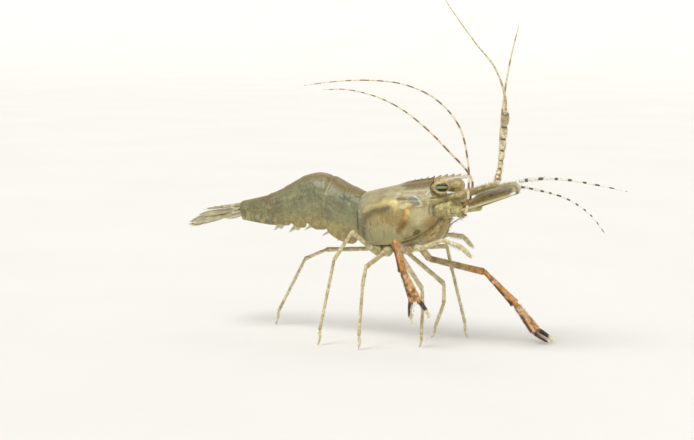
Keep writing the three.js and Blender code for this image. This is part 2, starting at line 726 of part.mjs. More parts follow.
// Each antenna is a long whip made in two lengths.
const antennaRight = [
  [22.95, -3.0, 22.85],
  [23.5, -3.85, 22.6],
  [23.9, -4.85, 23.5],
  [24.2, -4.95, 27.2],
  [23.7, -3.9, 30.6],
  [21.7, -2.9, 36.8],
  [18.0, -3.6, 41.1],
  [13.4, -5.6, 43.5],
  [7.9, -8.0, 44.2],
  [2.5, -10.4, 43.9],
  [-1.5, -12.0, 43.3],
];
const antennaLeft = [
  [21.2, 2.65, 24.25],
  [21.0, 2.9, 24.95],
  [20.85, 3.55, 26.1],
  [20.8, 4.15, 27.4],
  [20.0, 4.1, 29.1],
  [16.7, 3.4, 32.6],
  [13.3, 3.7, 35.5],
  [8.4, 4.6, 38.6],
  [2.7, 6.2, 40.7],
  [-4.3, 8.2, 41.8],
  [-10.0, 10.0, 41.6],
];
for (const [sideName, route] of [['right', antennaRight], ['left', antennaLeft]]) {
  const whole = new THREE.CatmullRomCurve3(route.map(([x, y, z]) => point(x, y, z)));
  const lengths = [0, 0.42, 1];
  const gap = GAP / whole.getLength() / 2;
  for (let part = 0; part < 2; part++) {
    const from = lengths[part] + (part === 0 ? 0 : gap);
    const to = lengths[part + 1] - (part === 1 ? 0 : gap);
    const steps = [15, 12][part];
    const through = Array.from({ length: steps + 1 }, (_, k) => whole.getPointAt(blend(from, to, k / steps)));
    const radius = (t) => (part === 0 ? blend(0.36, FEELER_RADIUS, t) : FEELER_RADIUS);
    add(`antenna_${sideName}_${part + 1}`, tube(through, radius, steps, 6), COLOURS.feeler);
  }
}

// ------------------------------------------------------------------ jaws' feet and first legs
for (const [sideName, side] of SIDES) {
  const jawFoot = limb(
    [
      point(15.2, side * 1.85, 18.3),
      point(16.9, side * 1.95, 19.3),
      point(17.6, side * 1.65, 20.9),
      point(18.2, side * 1.45, 22.0),
    ],
    [[0.5, 0.55], [0.48, 0.38], [0.36, 0.26]],
    { sides: 6, flat: 0.9 },
  );
  add(`third_maxilliped_${sideName}`, jawFoot, COLOURS.limb);
}

const FIRST_LEGS = {
  right: [
    [14.0, -2.4, 17.15], [15.3, -2.9, 17.35], [19.1, -3.4, 18.85],
    [22.5, -3.6, 17.9], [24.0, -3.4, 16.45],
  ],
  left: [[14.0, 2.4, 17.15], [14.8, 2.9, 17.6], [16.9, 3.4, 19.0], [19.5, 3.6, 18.7], [21.1, 3.6, 17.1]],
};
for (const [sideName] of SIDES) {
  const joints = FIRST_LEGS[sideName].map(([x, y, z]) => point(x, y, z));
  const leg = limb(joints, [[0.5, 0.42], [0.38, 0.36], [0.3, 0.36], [0.42, 0.27]]);
  add(`leg_1_${sideName}`, leg, COLOURS.limb);
}

// ------------------------------------------------------------------ arms: the second legs
const ARMS = {
  right: {
    hip: [12.35, -2.45, 16.65],
    haunch: [12.9, -4.9, 17.1],
    elbow: [14.5, -11.5, 19.1],
    wrist: [14.35, -8.15, 14.2],
    knuckle: [15.4, -5.9, 9.25],
    tips: [[14.35, -5.3, 5.3], [17.8, -5.3, 6.5]],
  },
  left: {
    hip: [12.35, 2.45, 16.65],
    haunch: [13.1, 4.2, 14.6],
    elbow: [22.3, 6.0, 12.75],
    wrist: [27.1, 7.5, 7.6],
    knuckle: [30.2, 8.5, 3.35],
    tips: [[32.6, 8.6, 1.6], [32.9, 9.7, 1.75]],
  },
};

for (const [sideName] of SIDES) {
  const arm = ARMS[sideName];
  const at = (p) => point(...p);
  const places = [arm.hip, arm.haunch, arm.elbow, arm.wrist, arm.knuckle];
  const [hip, haunch, elbow, wrist, knuckle] = places.map(at);
  const pull = (from, to, distance) => {
    const way = to.clone().sub(from).normalize();
    return from.clone().addScaledVector(way, distance);
  };

  // The elbow is bent sharply, so both lengths thin out where they meet.
  const hinge = sideName === 'right' ? { before: 0.45, after: 1.15 } : { before: 0.2, after: 0.55 };
  add(
    `arm_${sideName}_upper`,
    limb(
      [hip, haunch, pull(elbow, haunch, 2.3), pull(elbow, haunch, hinge.before)],
      [[0.6, 0.52], [0.5, 0.58], [0.54, 0.34]],
      { sides: 8 },
    ),
    COLOURS.limb,
  );
  add(
    `arm_${sideName}_wrist`,
    limb(
      [pull(elbow, wrist, hinge.after), pull(elbow, wrist, hinge.after + 0.9), wrist],
      [[0.28, 0.34], [0.36, 0.76]],
      { sides: 8 },
    ),
    COLOURS.arm,
  );

  // The palm carries the fixed finger; the other finger is a piece of its own.
  const palmAxis = knuckle.clone().sub(wrist).normalize();
  const [fixedTip, freeTip] = arm.tips.map(at);
  const spread = freeTip.clone().sub(fixedTip);
  spread.addScaledVector(palmAxis, -spread.dot(palmAxis)).normalize();
  const palmStart = pull(wrist, knuckle, GAP + 0.05);
  const middle = wrist.clone().lerp(knuckle, 0.55);
  const normal = palmAxis.clone().cross(spread).normalize();
  const palmRings = [
    [palmStart, 0.52, 0.5],
    [pull(wrist, knuckle, 1.1), 0.78, 0.66],
    [middle, 0.98, 0.8],
    [knuckle, 1.05, 0.72],
  ].map(([centre, wide, thick]) =>
    Array.from({ length: 10 }, (_, k) => {
      const angle = (2 * PI * k) / 10;
      return centre
        .clone()
        .addScaledVector(spread, wide * cos(angle))
        .addScaledVector(normal, thick * sin(angle));
    }),
  );
  const fixedRoot = knuckle.clone().addScaledVector(spread, -0.52);
  const fixedBend = fixedRoot.clone().lerp(fixedTip, 0.55).addScaledVector(spread, -0.22);
  const fixedLine = [pull(fixedRoot, wrist, 0.7), fixedRoot, fixedBend, fixedTip];
  const fixed = tube(fixedLine, (t) => blend(0.5, 0.26, t), 7, 7);
  add(`arm_${sideName}_hand`, joined(loft(palmRings), fixed), COLOURS.arm);

  const freeRoot = knuckle.clone().addScaledVector(spread, 0.55).addScaledVector(palmAxis, GAP);
  const freeBend = freeRoot.clone().lerp(freeTip, 0.55).addScaledVector(spread, 0.2);
  const free = tube([freeRoot, freeBend, freeTip], (t) => blend(0.44, 0.26, t), 6, 7);
  add(`arm_${sideName}_finger`, free, COLOURS.finger);
}

// ------------------------------------------------------------------ walking legs
// Hip, end of the haunch, knee, ankle, heel and foot of each leg.
const WALKING_LEGS = {
  leg_3_right: [
    [10.5, -2.45, 16.3], [11.5, -2.8, 15.6], [15.3, -3.1, 10.7],
    [15.5, -3.2, 7.6], [15.25, -3.3, 3.1], [15.0, -3.4],
  ],
  leg_4_right: [
    [8.5, -2.45, 16.2], [8.6, -3.9, 16.0], [8.2, -9.0, 14.5],
    [7.85, -9.5, 11.45], [7.45, -10.0, 3.3], [7.4, -10.1],
  ],
  leg_5_right: [
    [6.6, -2.45, 16.2], [6.2, -3.9, 17.0], [4.9, -7.5, 19.8],
    [2.15, -8.5, 15.2], [-0.1, -9.3, 3.5], [-0.3, -9.5],
  ],
  leg_3_left: [
    [10.5, 2.45, 16.3], [11.5, 3.6, 16.4], [15.0, 6.9, 16.5],
    [15.8, 7.3, 12.5], [18.0, 7.8, 3.5], [18.4, 7.9],
  ],
  leg_4_left: [
    [8.5, 2.45, 16.2], [9.6, 2.9, 15.6], [15.4, 5.0, 10.5],
    [15.3, 5.2, 7.2], [13.6, 5.5, 3.2], [13.0, 5.5],
  ],
  leg_5_left: [
    [6.6, 2.45, 16.2], [4.4, 2.8, 15.9], [-5.9, 3.8, 15.0],
    [-10.3, 4.2, 13.1], [-15.9, 4.7, 3.5], [-16.5, 4.9],
  ],
};
const WALKING_RADII = [[0.55, 0.45], [0.42, 0.42], [0.32, 0.34], [0.3, 0.27], [0.27, 0.3]];

for (const [name, joints] of Object.entries(WALKING_LEGS)) {
  const points = joints.map(([x, y, z = GROUND]) => point(x, y, z));
  add(name, limb(points, WALKING_RADII, { foot: true }), COLOURS.limb);
}

// ------------------------------------------------------------------ the model's origin
const box = new THREE.Box3().setFromObject(group);
const middle = box.getCenter(point(0, 0, 0));
group.position.set(-middle.x, -middle.y, -box.min.z);

export default group;
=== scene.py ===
import functools
from math import acos, atan2, copysign, cos, pi, radians, sin

import bpy
import numpy as np
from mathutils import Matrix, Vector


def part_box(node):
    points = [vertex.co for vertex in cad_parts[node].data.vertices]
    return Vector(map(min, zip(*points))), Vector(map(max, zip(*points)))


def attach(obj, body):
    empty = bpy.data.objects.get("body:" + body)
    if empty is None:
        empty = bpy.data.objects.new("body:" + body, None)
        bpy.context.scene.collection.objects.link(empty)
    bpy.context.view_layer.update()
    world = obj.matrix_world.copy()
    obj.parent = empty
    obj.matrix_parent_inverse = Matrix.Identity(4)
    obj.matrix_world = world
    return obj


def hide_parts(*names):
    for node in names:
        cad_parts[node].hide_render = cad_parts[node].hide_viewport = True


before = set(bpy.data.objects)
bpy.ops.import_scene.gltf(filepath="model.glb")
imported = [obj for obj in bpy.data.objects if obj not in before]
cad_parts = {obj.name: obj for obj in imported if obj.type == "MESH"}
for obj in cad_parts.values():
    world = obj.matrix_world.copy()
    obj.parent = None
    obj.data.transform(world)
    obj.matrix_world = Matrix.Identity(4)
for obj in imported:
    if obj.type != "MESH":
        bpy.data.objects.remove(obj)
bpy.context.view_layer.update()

# A long-armed river prawn, life size. Shapes are worked out in millimetres in the animal's body
# frame (x forward, y to its left, z up) and written to the meshes in metres, in the model's frame.

MM = 0.001
GROUND = 1.2
rng = np.random.default_rng(11)

# ------------------------------------------------------------------ the animal's driving dimensions
SHIELD_LENGTH = 12.2
SHIELD_PITCH = radians(12)
SHIELD_REAR = (4, 25.65)
SHIELD_DEPTH = 9.1
SHIELD_HALF_WIDTH = 3.7
SHIELD_UNDER = radians(135)
SHIELD_GIRTH = 11.5  # from the back to the lower edge, along the skin
SHIELD_WALL = 0.2
PLATE_WALL = 0.17
PLATE_LENGTH = 4.2  # an abdomen plate's usual length, and its girth from the back to a flap's edge
PLATE_GIRTH = 9
ROSTRUM_START = 7.6
ROSTRUM_REACH = 19
ROSTRUM_TEETH = 9
# Where the abdomen's segments meet: x, z, lean in degrees, depth and half width.
JOINTS = np.array([
    (3.55, 25.55, 3, 8.8, 3.15),
    (1.4, 26.3, 3, 9.3, 3.3),
    (-2.2, 27.8, 5, 9.9, 3.5),
    (-4.9, 28.4, 11, 10.1, 3.5),
    (-8.2, 27.55, 19, 9.5, 3.2),
    (-11.3, 25.85, 23, 7.6, 2.8),
    (-14.4, 24.4, 19, 5.5, 2.25),
    (-20, 22.85, 13, 3, 1.55),
])
SEGMENT_ENDS = (0, 1, 2, 4, 5, 6, 7)
SEGMENT_SWEEP = (0, -0.86, 0.4, 0.3, 0.24, 0.14, 0)
PLEURA_UNDER = radians(124)
BELLY_LEVEL = 0.645
EYE_CENTRE = (18.58, 2.85, 27.27)
EYE_RADIUS = 1.22
STALK_ROOT = (16.55, 1.3, 26.9)
SCALE_ROOT = (21.75, 3.9, 23.52)
SCALE_LENGTHS = {"right": 10.5, "left": 10}
SCALE_WIDTH = 3.2
SCALE_PITCH = radians(18.4)
SCALE_ROLL = radians(34)
SCALE_YAW = {"right": 0, "left": radians(-18)}
TELSON_LENGTH = 6.9
TAIL_SLOPE = radians(10.5)
TAIL_WAY = -np.array([cos(TAIL_SLOPE), 0, sin(TAIL_SLOPE)])
SIDES = {"right": -1, "left": 1}
UP = (0, 0, 1)
LEFT = (0, 1, 0)
FULL_TURN = 6.3  # a little over 2π, so that a share of a turn stays below 1
COAT_PATCH = 0.003  # how much of the coat's map, from 0 to 1, one bristle takes up

# The body frame's origin in the model's frame, from the head shield's own box: the rostrum's tip
# is the shield's foremost point, and the shield is as wide to the left as to the right.
pitch_cos, pitch_sin = cos(SHIELD_PITCH), sin(SHIELD_PITCH)
TIP_LEVEL = -0.64
tip_x = SHIELD_REAR[0] + ROSTRUM_REACH * pitch_cos - TIP_LEVEL * pitch_sin
shield_low, shield_high = (np.array(corner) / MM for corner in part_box("head_shield"))
SHIFT = np.array([shield_high[0] - tip_x, (shield_low[1] + shield_high[1]) / 2, -GROUND])


# ------------------------------------------------------------------ shape helpers
def smooth(t, low, high):
    """0 below low and 1 above high, with the cubic 3t² - 2t³ between them."""
    t = np.clip((t - low) / (high - low), 0, 1)
    return t * t * (3 - 2 * t)


def hump(t, middle, width):
    """1 at the middle and e^-(d/width)² at a distance d from it."""
    return np.exp(-(((t - middle) / width) ** 2))


def blend(a, b, t):
    """a where t is 0, b where t is 1."""
    return a + (b - a) * t


def eased(count):
    """Numbers from 0 to 1 that lie closer together near both ends: (1 - cos πt) / 2, mixed with t."""
    t = np.linspace(0, 1, count)
    return 0.45 * t + 0.55 * (1 - np.cos(pi * t)) / 2


def unit(vectors):
    """Vectors divided by their lengths."""
    return vectors / np.maximum(np.linalg.norm(vectors, axis=-1, keepdims=True), 1e-9)


def joined(*parts):
    """Arrays or numbers side by side in a new last axis, each stretched to fit the others."""
    return np.stack(np.broadcast_arrays(*parts), -1)


def between(start, end, t):
    """Points of the straight line from start to end, at the shares t of it."""
    return blend(start, end, t[:, None])


def around(direction, reference):
    """Two unit ways square to a direction: one square to the reference too, and one along it."""
    across = unit(np.cross(reference, direction))
    return across, np.cross(direction, across)


def once_round(count):
    """Angles at equal steps once round."""
    return np.linspace(0, 2 * pi, count, endpoint=False)


def oval(t):
    """0 at both ends of 0..1 and 1 in the middle, round like half a circle: √(1 - (2t - 1)²)."""
    return np.sqrt(np.clip(1 - (2 * t - 1) ** 2, 0, 1))


def mirrored(points, side):
    """Points given for the left side, on the left (1) or turned over to the right (-1)."""
    return np.asarray(points, float) * (1, side, 1)


def cubic_through(points, u):
    """The centripetal Catmull-Rom curve through points, at u counted in spans from the first one."""
    points = np.asarray(points, float)
    ends = np.vstack([2 * points[0] - points[1], points, 2 * points[-1] - points[-2]])
    span = np.clip(np.floor(u).astype(int), 0, len(points) - 2)
    w = (u - span)[..., None]
    a, b, c, d = (ends[span + k] for k in range(4))
    ab, bc, cd = (np.sqrt(np.linalg.norm(q - p, axis=-1, keepdims=True)) for p, q in ((a, b), (b, c), (c, d)))
    leave = ((b - a) / ab - (c - a) / (ab + bc) + (c - b) / bc) * bc
    reach = ((c - b) / bc - (d - b) / (bc + cd) + (d - c) / cd) * bc
    return b + leave * w + (3 * (c - b) - 2 * leave - reach) * w**2 + (2 * (b - c) + leave + reach) * w**3


def even_path(points, count):
    """Places at equal steps of length along the smooth curve through points, and the length run."""
    spans = len(points) - 1
    dense = cubic_through(points, np.linspace(0, spans, 80 * spans + 1))
    run = np.concatenate([[0], np.cumsum(np.linalg.norm(np.diff(dense, axis=0), axis=1))])
    at = np.linspace(0, run[-1], count)
    return np.stack([np.interp(at, run, axis) for axis in dense.T], 1), at


class Surface:
    """Points in millimetres, lists of faces, and a place per point that patterns are laid out in."""

    def __init__(self, points, faces, place, patch=None):
        self.points = np.asarray(points, float).reshape(-1, 3)
        self.place = np.asarray(place, float).reshape(-1, 3)
        self.faces = [np.asarray(rows, int) for rows in faces]
        self.patch = patch
        if self.volume() < 0:
            self.faces = [rows[:, ::-1] for rows in self.faces]

    def volume(self):
        """Six times the volume inside: the sum of a · (b × c) over every face's fan of triangles."""
        total = 0
        for rows in self.faces:
            corners = self.points[rows]
            for k in range(1, rows.shape[1] - 1):
                fan = np.cross(corners[:, k], corners[:, k + 1])
                total += np.einsum("ij,ij->", corners[:, 0], fan)
        return total


def lattice(rows, columns, wrap):
    """Four-sided faces of a grid of rows × columns points; with wrap the last column meets the first."""
    last = columns if wrap else columns - 1
    row, column = np.meshgrid(np.arange(rows - 1), np.arange(last), indexing="ij")
    here = row * columns + column
    beside = row * columns + (column + 1) % columns
    return joined(here, beside, beside + columns, here + columns).reshape(-1, 4)


def closed_rings(rings, place):
    """A closed skin through rings (rows, columns, 3), with a fan of triangles over each end."""
    rows, columns = rings.shape[:2]
    count = rows * columns
    k = np.arange(columns)
    beyond = (k + 1) % columns
    last = count - columns
    fans = np.vstack([joined(count, beyond, k), joined(count + 1, last + k, last + beyond)])
    points = np.vstack([rings.reshape(-1, 3), rings[0].mean(0), rings[-1].mean(0)])
    marks = np.vstack([place.reshape(-1, 3), place[0].mean(0), place[-1].mean(0)])
    return Surface(points, [lattice(rows, columns, True), fans], marks)


def sheet_between(outer, inner, place):
    """A closed thin skin between two grids of the same layout, joined along their four borders."""
    rows, columns = outer.shape[:2]
    count = rows * columns
    number = np.arange(count).reshape(rows, columns)
    rim = np.concatenate([number[0, :-1], number[:-1, -1], number[-1, :0:-1], number[:0:-1, 0]])
    beyond = np.roll(rim, -1)
    face = lattice(rows, columns, False)
    strip = joined(beyond, rim, rim + count, beyond + count)
    points = np.vstack([outer.reshape(-1, 3), inner.reshape(-1, 3)])
    marks = np.vstack([place.reshape(-1, 3)] * 2)
    return Surface(points, [np.vstack([face, face[:, ::-1] + count, strip])], marks)


def grid_normals(grid, outwards):
    """Unit normals of a grid of points, turned to the side that the vectors outwards point to."""
    normal = unit(np.cross(np.gradient(grid, axis=0), np.gradient(grid, axis=1)))
    turned = np.sign(np.einsum("...k,...k->...", normal, outwards))
    return normal * np.where(turned == 0, 1, turned)[..., None]


def tube(path, run, wide, thick, sides, reference, part=0):
    """
    A closed tube: round each point of the path an ellipse wide·cos a across it and thick·sin a
    along the reference direction, square to the path. Its place is (length run, |a/π - 1|, part).
    """
    direction = unit(np.gradient(path, axis=0))
    across, rise = around(direction, reference)
    angle = once_round(sides)
    wide = np.broadcast_to(wide, run.shape)
    thick = np.broadcast_to(thick, run.shape)
    rings = (
        path[:, None]
        + (wide[:, None] * np.cos(angle))[..., None] * across[:, None]
        + (thick[:, None] * np.sin(angle))[..., None] * rise[:, None]
    )
    return closed_rings(rings, joined(run[:, None], np.abs(angle / pi - 1), part))


def rounded_ends(run, start, end):
    """A factor that closes a tube like a dome over the given lengths at its start and end."""
    left = np.clip(run / start, 0, 1)
    right = np.clip((run[-1] - run) / end, 0, 1)
    return np.sqrt(np.maximum(1 - (1 - left) ** 2, 4e-4) * np.maximum(1 - (1 - right) ** 2, 4e-4))


def podomere(start, end, radii, reference, flat=1, collar=0.1, sides=18, steps=30, run0=0, part=0):
    """
    One hard length of a limb from start to end: the radius blends between its two radii, dips
    behind the far joint and swells at it by the share collar.
    """
    start, end = np.asarray(start, float), np.asarray(end, float)
    length = np.linalg.norm(end - start)
    t = eased(steps)
    path = between(start, end, t)
    radius = blend(radii[0], radii[1], smooth(t, 0, 1))
    radius = radius * (1 + collar * hump(t, 0.93, 0.09) - 0.5 * collar * hump(t, 0.14, 0.14))
    radius = radius * rounded_ends(t * length, 0.8 * radii[0], 0.8 * radii[1])
    return tube(path, run0 + t * length, radius, radius * flat, sides, reference, part)


def limb(joints, radii, reference, flat=1, collar=0.1, sides=18, steps=30):
    """Podomeres end to end through the joints, each reaching a little into its neighbour."""
    pieces = []
    run = 0
    for k, (start, end) in enumerate(zip(joints, joints[1:])):
        along = unit(end - start)
        reach = 0.35 * radii[k][1] if k < len(joints) - 2 else 0
        back = 0.3 * radii[k][0] if k else 0
        ends = start - back * along, end + reach * along
        pieces.append(podomere(*ends, radii[k], reference, flat, collar, sides, steps, run, k / 8))
        run += np.linalg.norm(end - start)
    return pieces


def bristles(roots, directions, lengths, radius, steps=2, skin=None):
    """
    Straight tapering three-sided bristles. The point at s of 0..1 along one is root +
    direction·length·s. Each has a small patch of the coat's map at its root's own place on the skin.
    """
    roots = np.asarray(roots, float)
    directions = unit(np.broadcast_to(np.asarray(directions, float), roots.shape))
    count = len(roots)
    lengths = np.broadcast_to(lengths, (count,))
    reference = np.where(np.abs(directions[:, 2:]) > 0.9, (1, 0, 0), (0, 0, 1))
    across = unit(np.cross(directions, reference))
    rise = np.cross(across, directions)
    s = np.linspace(0, 1, steps + 1)
    middle = roots[:, None] + (lengths[:, None] * s)[..., None] * directions[:, None]
    angle = 2 * pi * np.arange(3)[:, None] / 3
    girth = radius * (1 - s[:-1]) ** 0.6
    ring = np.cos(angle) * across[:, None, None] + np.sin(angle) * rise[:, None, None]
    rings = middle[:, :-1, None] + girth[:, None, None] * ring
    points = np.concatenate([rings.reshape(count, -1, 3), middle[:, -1:]], 1)
    each = 3 * steps + 1
    k = np.arange(3)
    beyond = (k + 1) % 3
    walls = np.concatenate([joined(k, beyond, beyond + 3, k + 3) + 3 * row for row in range(steps - 1)])
    caps = np.vstack([joined(k + each - 4, beyond + each - 4, each - 1), [[2, 1, 0]]])
    first = each * np.arange(count)[:, None, None]
    skin = rng.random((count, 2)) if skin is None else skin
    local = np.concatenate([joined(s[:-1, None], k / 3).reshape(-1, 2), [[1, 0.3]]])
    patch = np.clip(skin, 0, 0.996)[:, None] + COAT_PATCH * local
    along = np.concatenate([np.repeat(s[:-1], 3), [1]])
    place = joined(along[None], rng.random((count, 1)), 0)
    faces = [(walls + first).reshape(-1, 4), (caps + first).reshape(-1, 3)]
    return Surface(points, faces, place, patch.reshape(-1, 2))


def put(name, data):
    """An object of that name in the scene."""
    thing = bpy.data.objects.new(name, data)
    bpy.context.scene.collection.objects.link(thing)
    return thing


def make_piece(name, surfaces, material, nodes):
    """One mesh object of all the surfaces, in the model's frame, that stands for the CAD nodes."""
    points = np.vstack([s.points for s in surfaces])
    points[:, 2] = np.maximum(points[:, 2], GROUND)
    place = np.vstack([s.place for s in surfaces])
    firsts = np.cumsum([0] + [len(s.points) for s in surfaces[:-1]])
    rows = [faces + first for s, first in zip(surfaces, firsts) for faces in s.faces]
    corners = np.concatenate([faces.ravel() for faces in rows])
    sizes = np.concatenate([np.full(len(faces), faces.shape[1]) for faces in rows])
    starts = np.concatenate([[0], np.cumsum(sizes)[:-1]])
    mesh = bpy.data.meshes.new(name)
    mesh.vertices.add(len(points))
    mesh.vertices.foreach_set("co", ((points + SHIFT) * MM).astype(np.float32).ravel())
    mesh.loops.add(len(corners))
    mesh.loops.foreach_set("vertex_index", corners.astype(np.int32))
    mesh.polygons.add(len(sizes))
    mesh.polygons.foreach_set("loop_start", starts.astype(np.int32))
    mesh.update(calc_edges=True)
    mesh.shade_smooth()
    mesh.set_sharp_from_angle(angle=radians(50))
    laid = mesh.attributes.new("place", "FLOAT_VECTOR", "POINT")
    laid.data.foreach_set("vector", place.astype(np.float32).ravel())
    if surfaces[0].patch is not None:
        patch = np.vstack([s.patch for s in surfaces])
        coat = mesh.uv_layers.new(name="OFBake")
        coat.data.foreach_set("uv", patch[corners].astype(np.float32).ravel())
    mesh.materials.append(material)
    piece = put(name, mesh)
    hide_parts(*nodes)
    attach(piece, "root")


# ------------------------------------------------------------------ the shell's cross-section
def thin_wall(grid, normal, relief, wall, to_edge, rim, place):
    """
    A shell whose outer skin stands relief above the grid. The wall rounds off over the length rim
    at its edges: it is wall·√(1 - (1 - to_edge/rim)²) thick, and 0.02 mm more everywhere.
    """
    thickness = wall * np.sqrt(1 - (1 - np.clip(to_edge / rim, 0, 1)) ** 2) + 0.02
    outer, inner = (grid + normal * level[..., None] for level in (relief, relief - thickness))
    return sheet_between(outer, inner, place)


def flank(v, half_width, depth, under, crown=1):
    """
    Half a section of the body: v is 0 on the back and 1 at the lower edge, the angle is v·under.
    y = half width · sin(angle)^crown and z = -depth/2 + r·cos(angle), where r is depth/2 on the
    upper half and reaches the full depth at the lower edge.
    """
    angle = v * under
    middle = depth / 2
    radius = np.where(angle < pi / 2, middle, middle / -cos(under))
    return half_width * np.sin(angle) ** crown, -middle + radius * np.cos(angle)


def shield_place(x, y, z):
    """A place in the head shield's own frame, which is pitched nose up, in the body frame."""
    return joined(
        SHIELD_REAR[0] + x * pitch_cos - z * pitch_sin, y, SHIELD_REAR[1] + x * pitch_sin + z * pitch_cos,
    )


def shield_depth(x):
    """The shield's depth at x along it, which falls off from x = 4 both ways."""
    return np.where(
        x < 4,
        SHIELD_DEPTH - 0.7 * ((4 - x) / 5.2) ** 2,
        SHIELD_DEPTH - 2.1 * (np.maximum(x - 4, 0) / 8.3) ** 1.8,
    )


def shield_half_width(x):
    """Half the shield's width at x along it, which falls off from x = 4.5 both ways."""
    behind = 0.35 * ((4.5 - x) / 4.5) ** 2
    ahead = 1.2 * (np.maximum(x - 4.5, 0) / 7.5) ** 1.7
    return SHIELD_HALF_WIDTH - np.where(x < 4.5, behind, ahead)


def shield_front(v):
    """The orbit is cut back, the antennal spine stands forward, and the cheek is rounded off."""
    spine, cheek = 0.45 * hump(v, 0.6, 0.06), 0.8 * hump(v, 0.86, 0.1) - 0.7 * smooth(v, 0.9, 1)
    return SHIELD_LENGTH - 0.3 * hump(v, 0.35, 0.12) + spine + cheek


def shield_rear(v):
    """The rear edge, which bows back by 1.1·sin(0.62πv) down the flank."""
    return -1.1 * np.sin(v * 0.62 * pi)


def shield_skin(x, w):
    """The shield's smooth outer skin at x along it, w from -1 at the right edge to 1 at the left."""
    v = np.abs(w)
    y, z = flank(v, shield_half_width(x), shield_depth(x), SHIELD_UNDER, 1 + 0.5 * smooth(x, 4, 12))
    z = z + 0.2 * np.sin(pi * np.maximum(x, 0) / SHIELD_LENGTH) * (1 - v)
    return np.sign(w) * y, z


def head_shield():
    """The shield: a thin wall with a rolled rim, a branchial groove, a cheek groove and a crest."""
    even = np.linspace(-1, 1, 231)
    q, w = np.meshgrid(eased(150), 0.65 * even + 0.35 * np.sin(even * pi / 2), indexing="ij")
    v = np.abs(w)
    x = blend(shield_rear(v), shield_front(v), q)
    y, z = shield_skin(x, w)
    grid = shield_place(x, y, z)
    normal = grid_normals(grid, shield_place(0 * x, y, z + shield_depth(x) / 2) - shield_place(0, 0, 0))
    girth = SHIELD_GIRTH * v
    to_ends = np.minimum(x - shield_rear(v), shield_front(v) - x)
    to_edge = np.minimum(to_ends, SHIELD_GIRTH * (1 - v))
    groove_line = 5.1 + 1.9 * smooth(x, 6.5, 11.5) + 0.25 * np.sin(x * 1.1)
    high = smooth(girth, 2.2, 3.4) * (1 - smooth(girth, 5.2, 6.4))
    low = smooth(girth, 5, 6) * (1 - smooth(girth, 9, 10))
    relief = 0.02 * hump(to_edge, 0.22, 0.12)
    relief = relief - 0.07 * hump(girth, groove_line, 0.28) * smooth(x, 4.5, 7)
    relief = relief - 0.08 * hump(x, 6.9 - 0.34 * (girth - 4), 0.35) * high
    relief = relief - 0.05 * hump(x, 3.9 - 0.16 * (girth - 6.5) ** 2, 0.4) * low
    relief = relief + 0.28 * hump(girth, 0, 0.42) * smooth(x, 5.2, 8.2)
    relief = relief + 0.05 * hump(girth, 8.2, 1.6) * hump(x, 7.6, 2.4)
    return thin_wall(grid, normal, relief, SHIELD_WALL, to_edge, 0.16, joined(x, girth, 0))


def cheek_spine(side, x, v, length):
    """A forward spine on the cheek: a cone that rises out of the skin and curves a little outwards."""
    y, z = flank(v, shield_half_width(x), shield_depth(x), SHIELD_UNDER, 1.45)
    t = np.linspace(0, 1, 16)
    root = shield_place(x - 0.5, side * (y - 0.12), z)
    tip = shield_place(x + length, side * (y + 0.1), z + 0.05)
    path = between(root, tip, t) + mirrored((0, 0.12, 0), side) * np.sin(pi * t)[:, None]
    surface = tube(path, t * length, 0.26 * (1 - t) ** 0.9 + 0.015, 0.2 * (1 - t) ** 0.9 + 0.015, 12, UP)
    surface.place[:] = (x, v * SHIELD_GIRTH, 0)
    return surface


def tooth_wave(x, start, pitch):
    """A saw of forward teeth: rises over 0.72 of each pitch and drops within the next 0.1."""
    f = (x - start) / pitch - 0.15
    part = f - np.floor(f)
    wave = np.where(part < 0.72, (part / 0.72) ** 1.2, np.clip((0.82 - part) / 0.1, 0, 1))
    return wave * (f > 0) * (f < ROSTRUM_TEETH)


def rostrum():
    """The beak: a blade with a ridge along each side, nine teeth above and two small ones below."""
    x = np.linspace(6, ROSTRUM_REACH - 0.02, 620)
    pitch = (ROSTRUM_REACH - 0.9 - ROSTRUM_START) / ROSTRUM_TEETH
    teeth = tooth_wave(x, ROSTRUM_START, pitch)
    height = 0.38 * (1 - 0.3 * (x - ROSTRUM_START) / (ROSTRUM_REACH - ROSTRUM_START))
    crest = 0.2 - 0.8 * (np.maximum(x - 13.5, 0) / 5.5) ** 1.5
    top = crest + teeth * height - 0.3 * smooth(-x, -7.6, -6)
    lower = blend(-0.9, -1.45, smooth(x, 6, 13)) + 0.85 * smooth(x, 13.2, 19.6) ** 0.8
    lower = lower - 0.2 * hump(x, 16.6, 0.2) - 0.22 * hump(x, 17.8, 0.2)
    fade = np.sqrt(np.clip((ROSTRUM_REACH - x) / 1.6, 0.0005, 1))
    tip = blend(lower, crest, 0.5)
    top, lower = blend(tip, top, np.maximum(fade, 0.02)), blend(tip, lower, np.maximum(fade, 0.02))
    angle = once_round(36)
    rise = np.sin(angle)
    share = (0.5 + 0.5 * rise)[None]
    level = lower[:, None] + (top - lower)[:, None] * share
    lens = np.sign(np.cos(angle)) * np.abs(np.cos(angle)) ** 1.25
    ridge = 1 + 0.3 * hump(rise, -0.1, 0.25)
    root = 1 + 1.1 * smooth(-x, -12.5, -8)[:, None] * (1 - share) ** 1.5
    half = 0.2 * np.maximum(fade, 0.08)[:, None] * (lens * ridge)[None] * root
    lean = 0.3 * teeth[:, None] * smooth(share, 0.7, 1)
    along = x[:, None] + lean
    return closed_rings(shield_place(along, half, level), joined(along, level, 1))


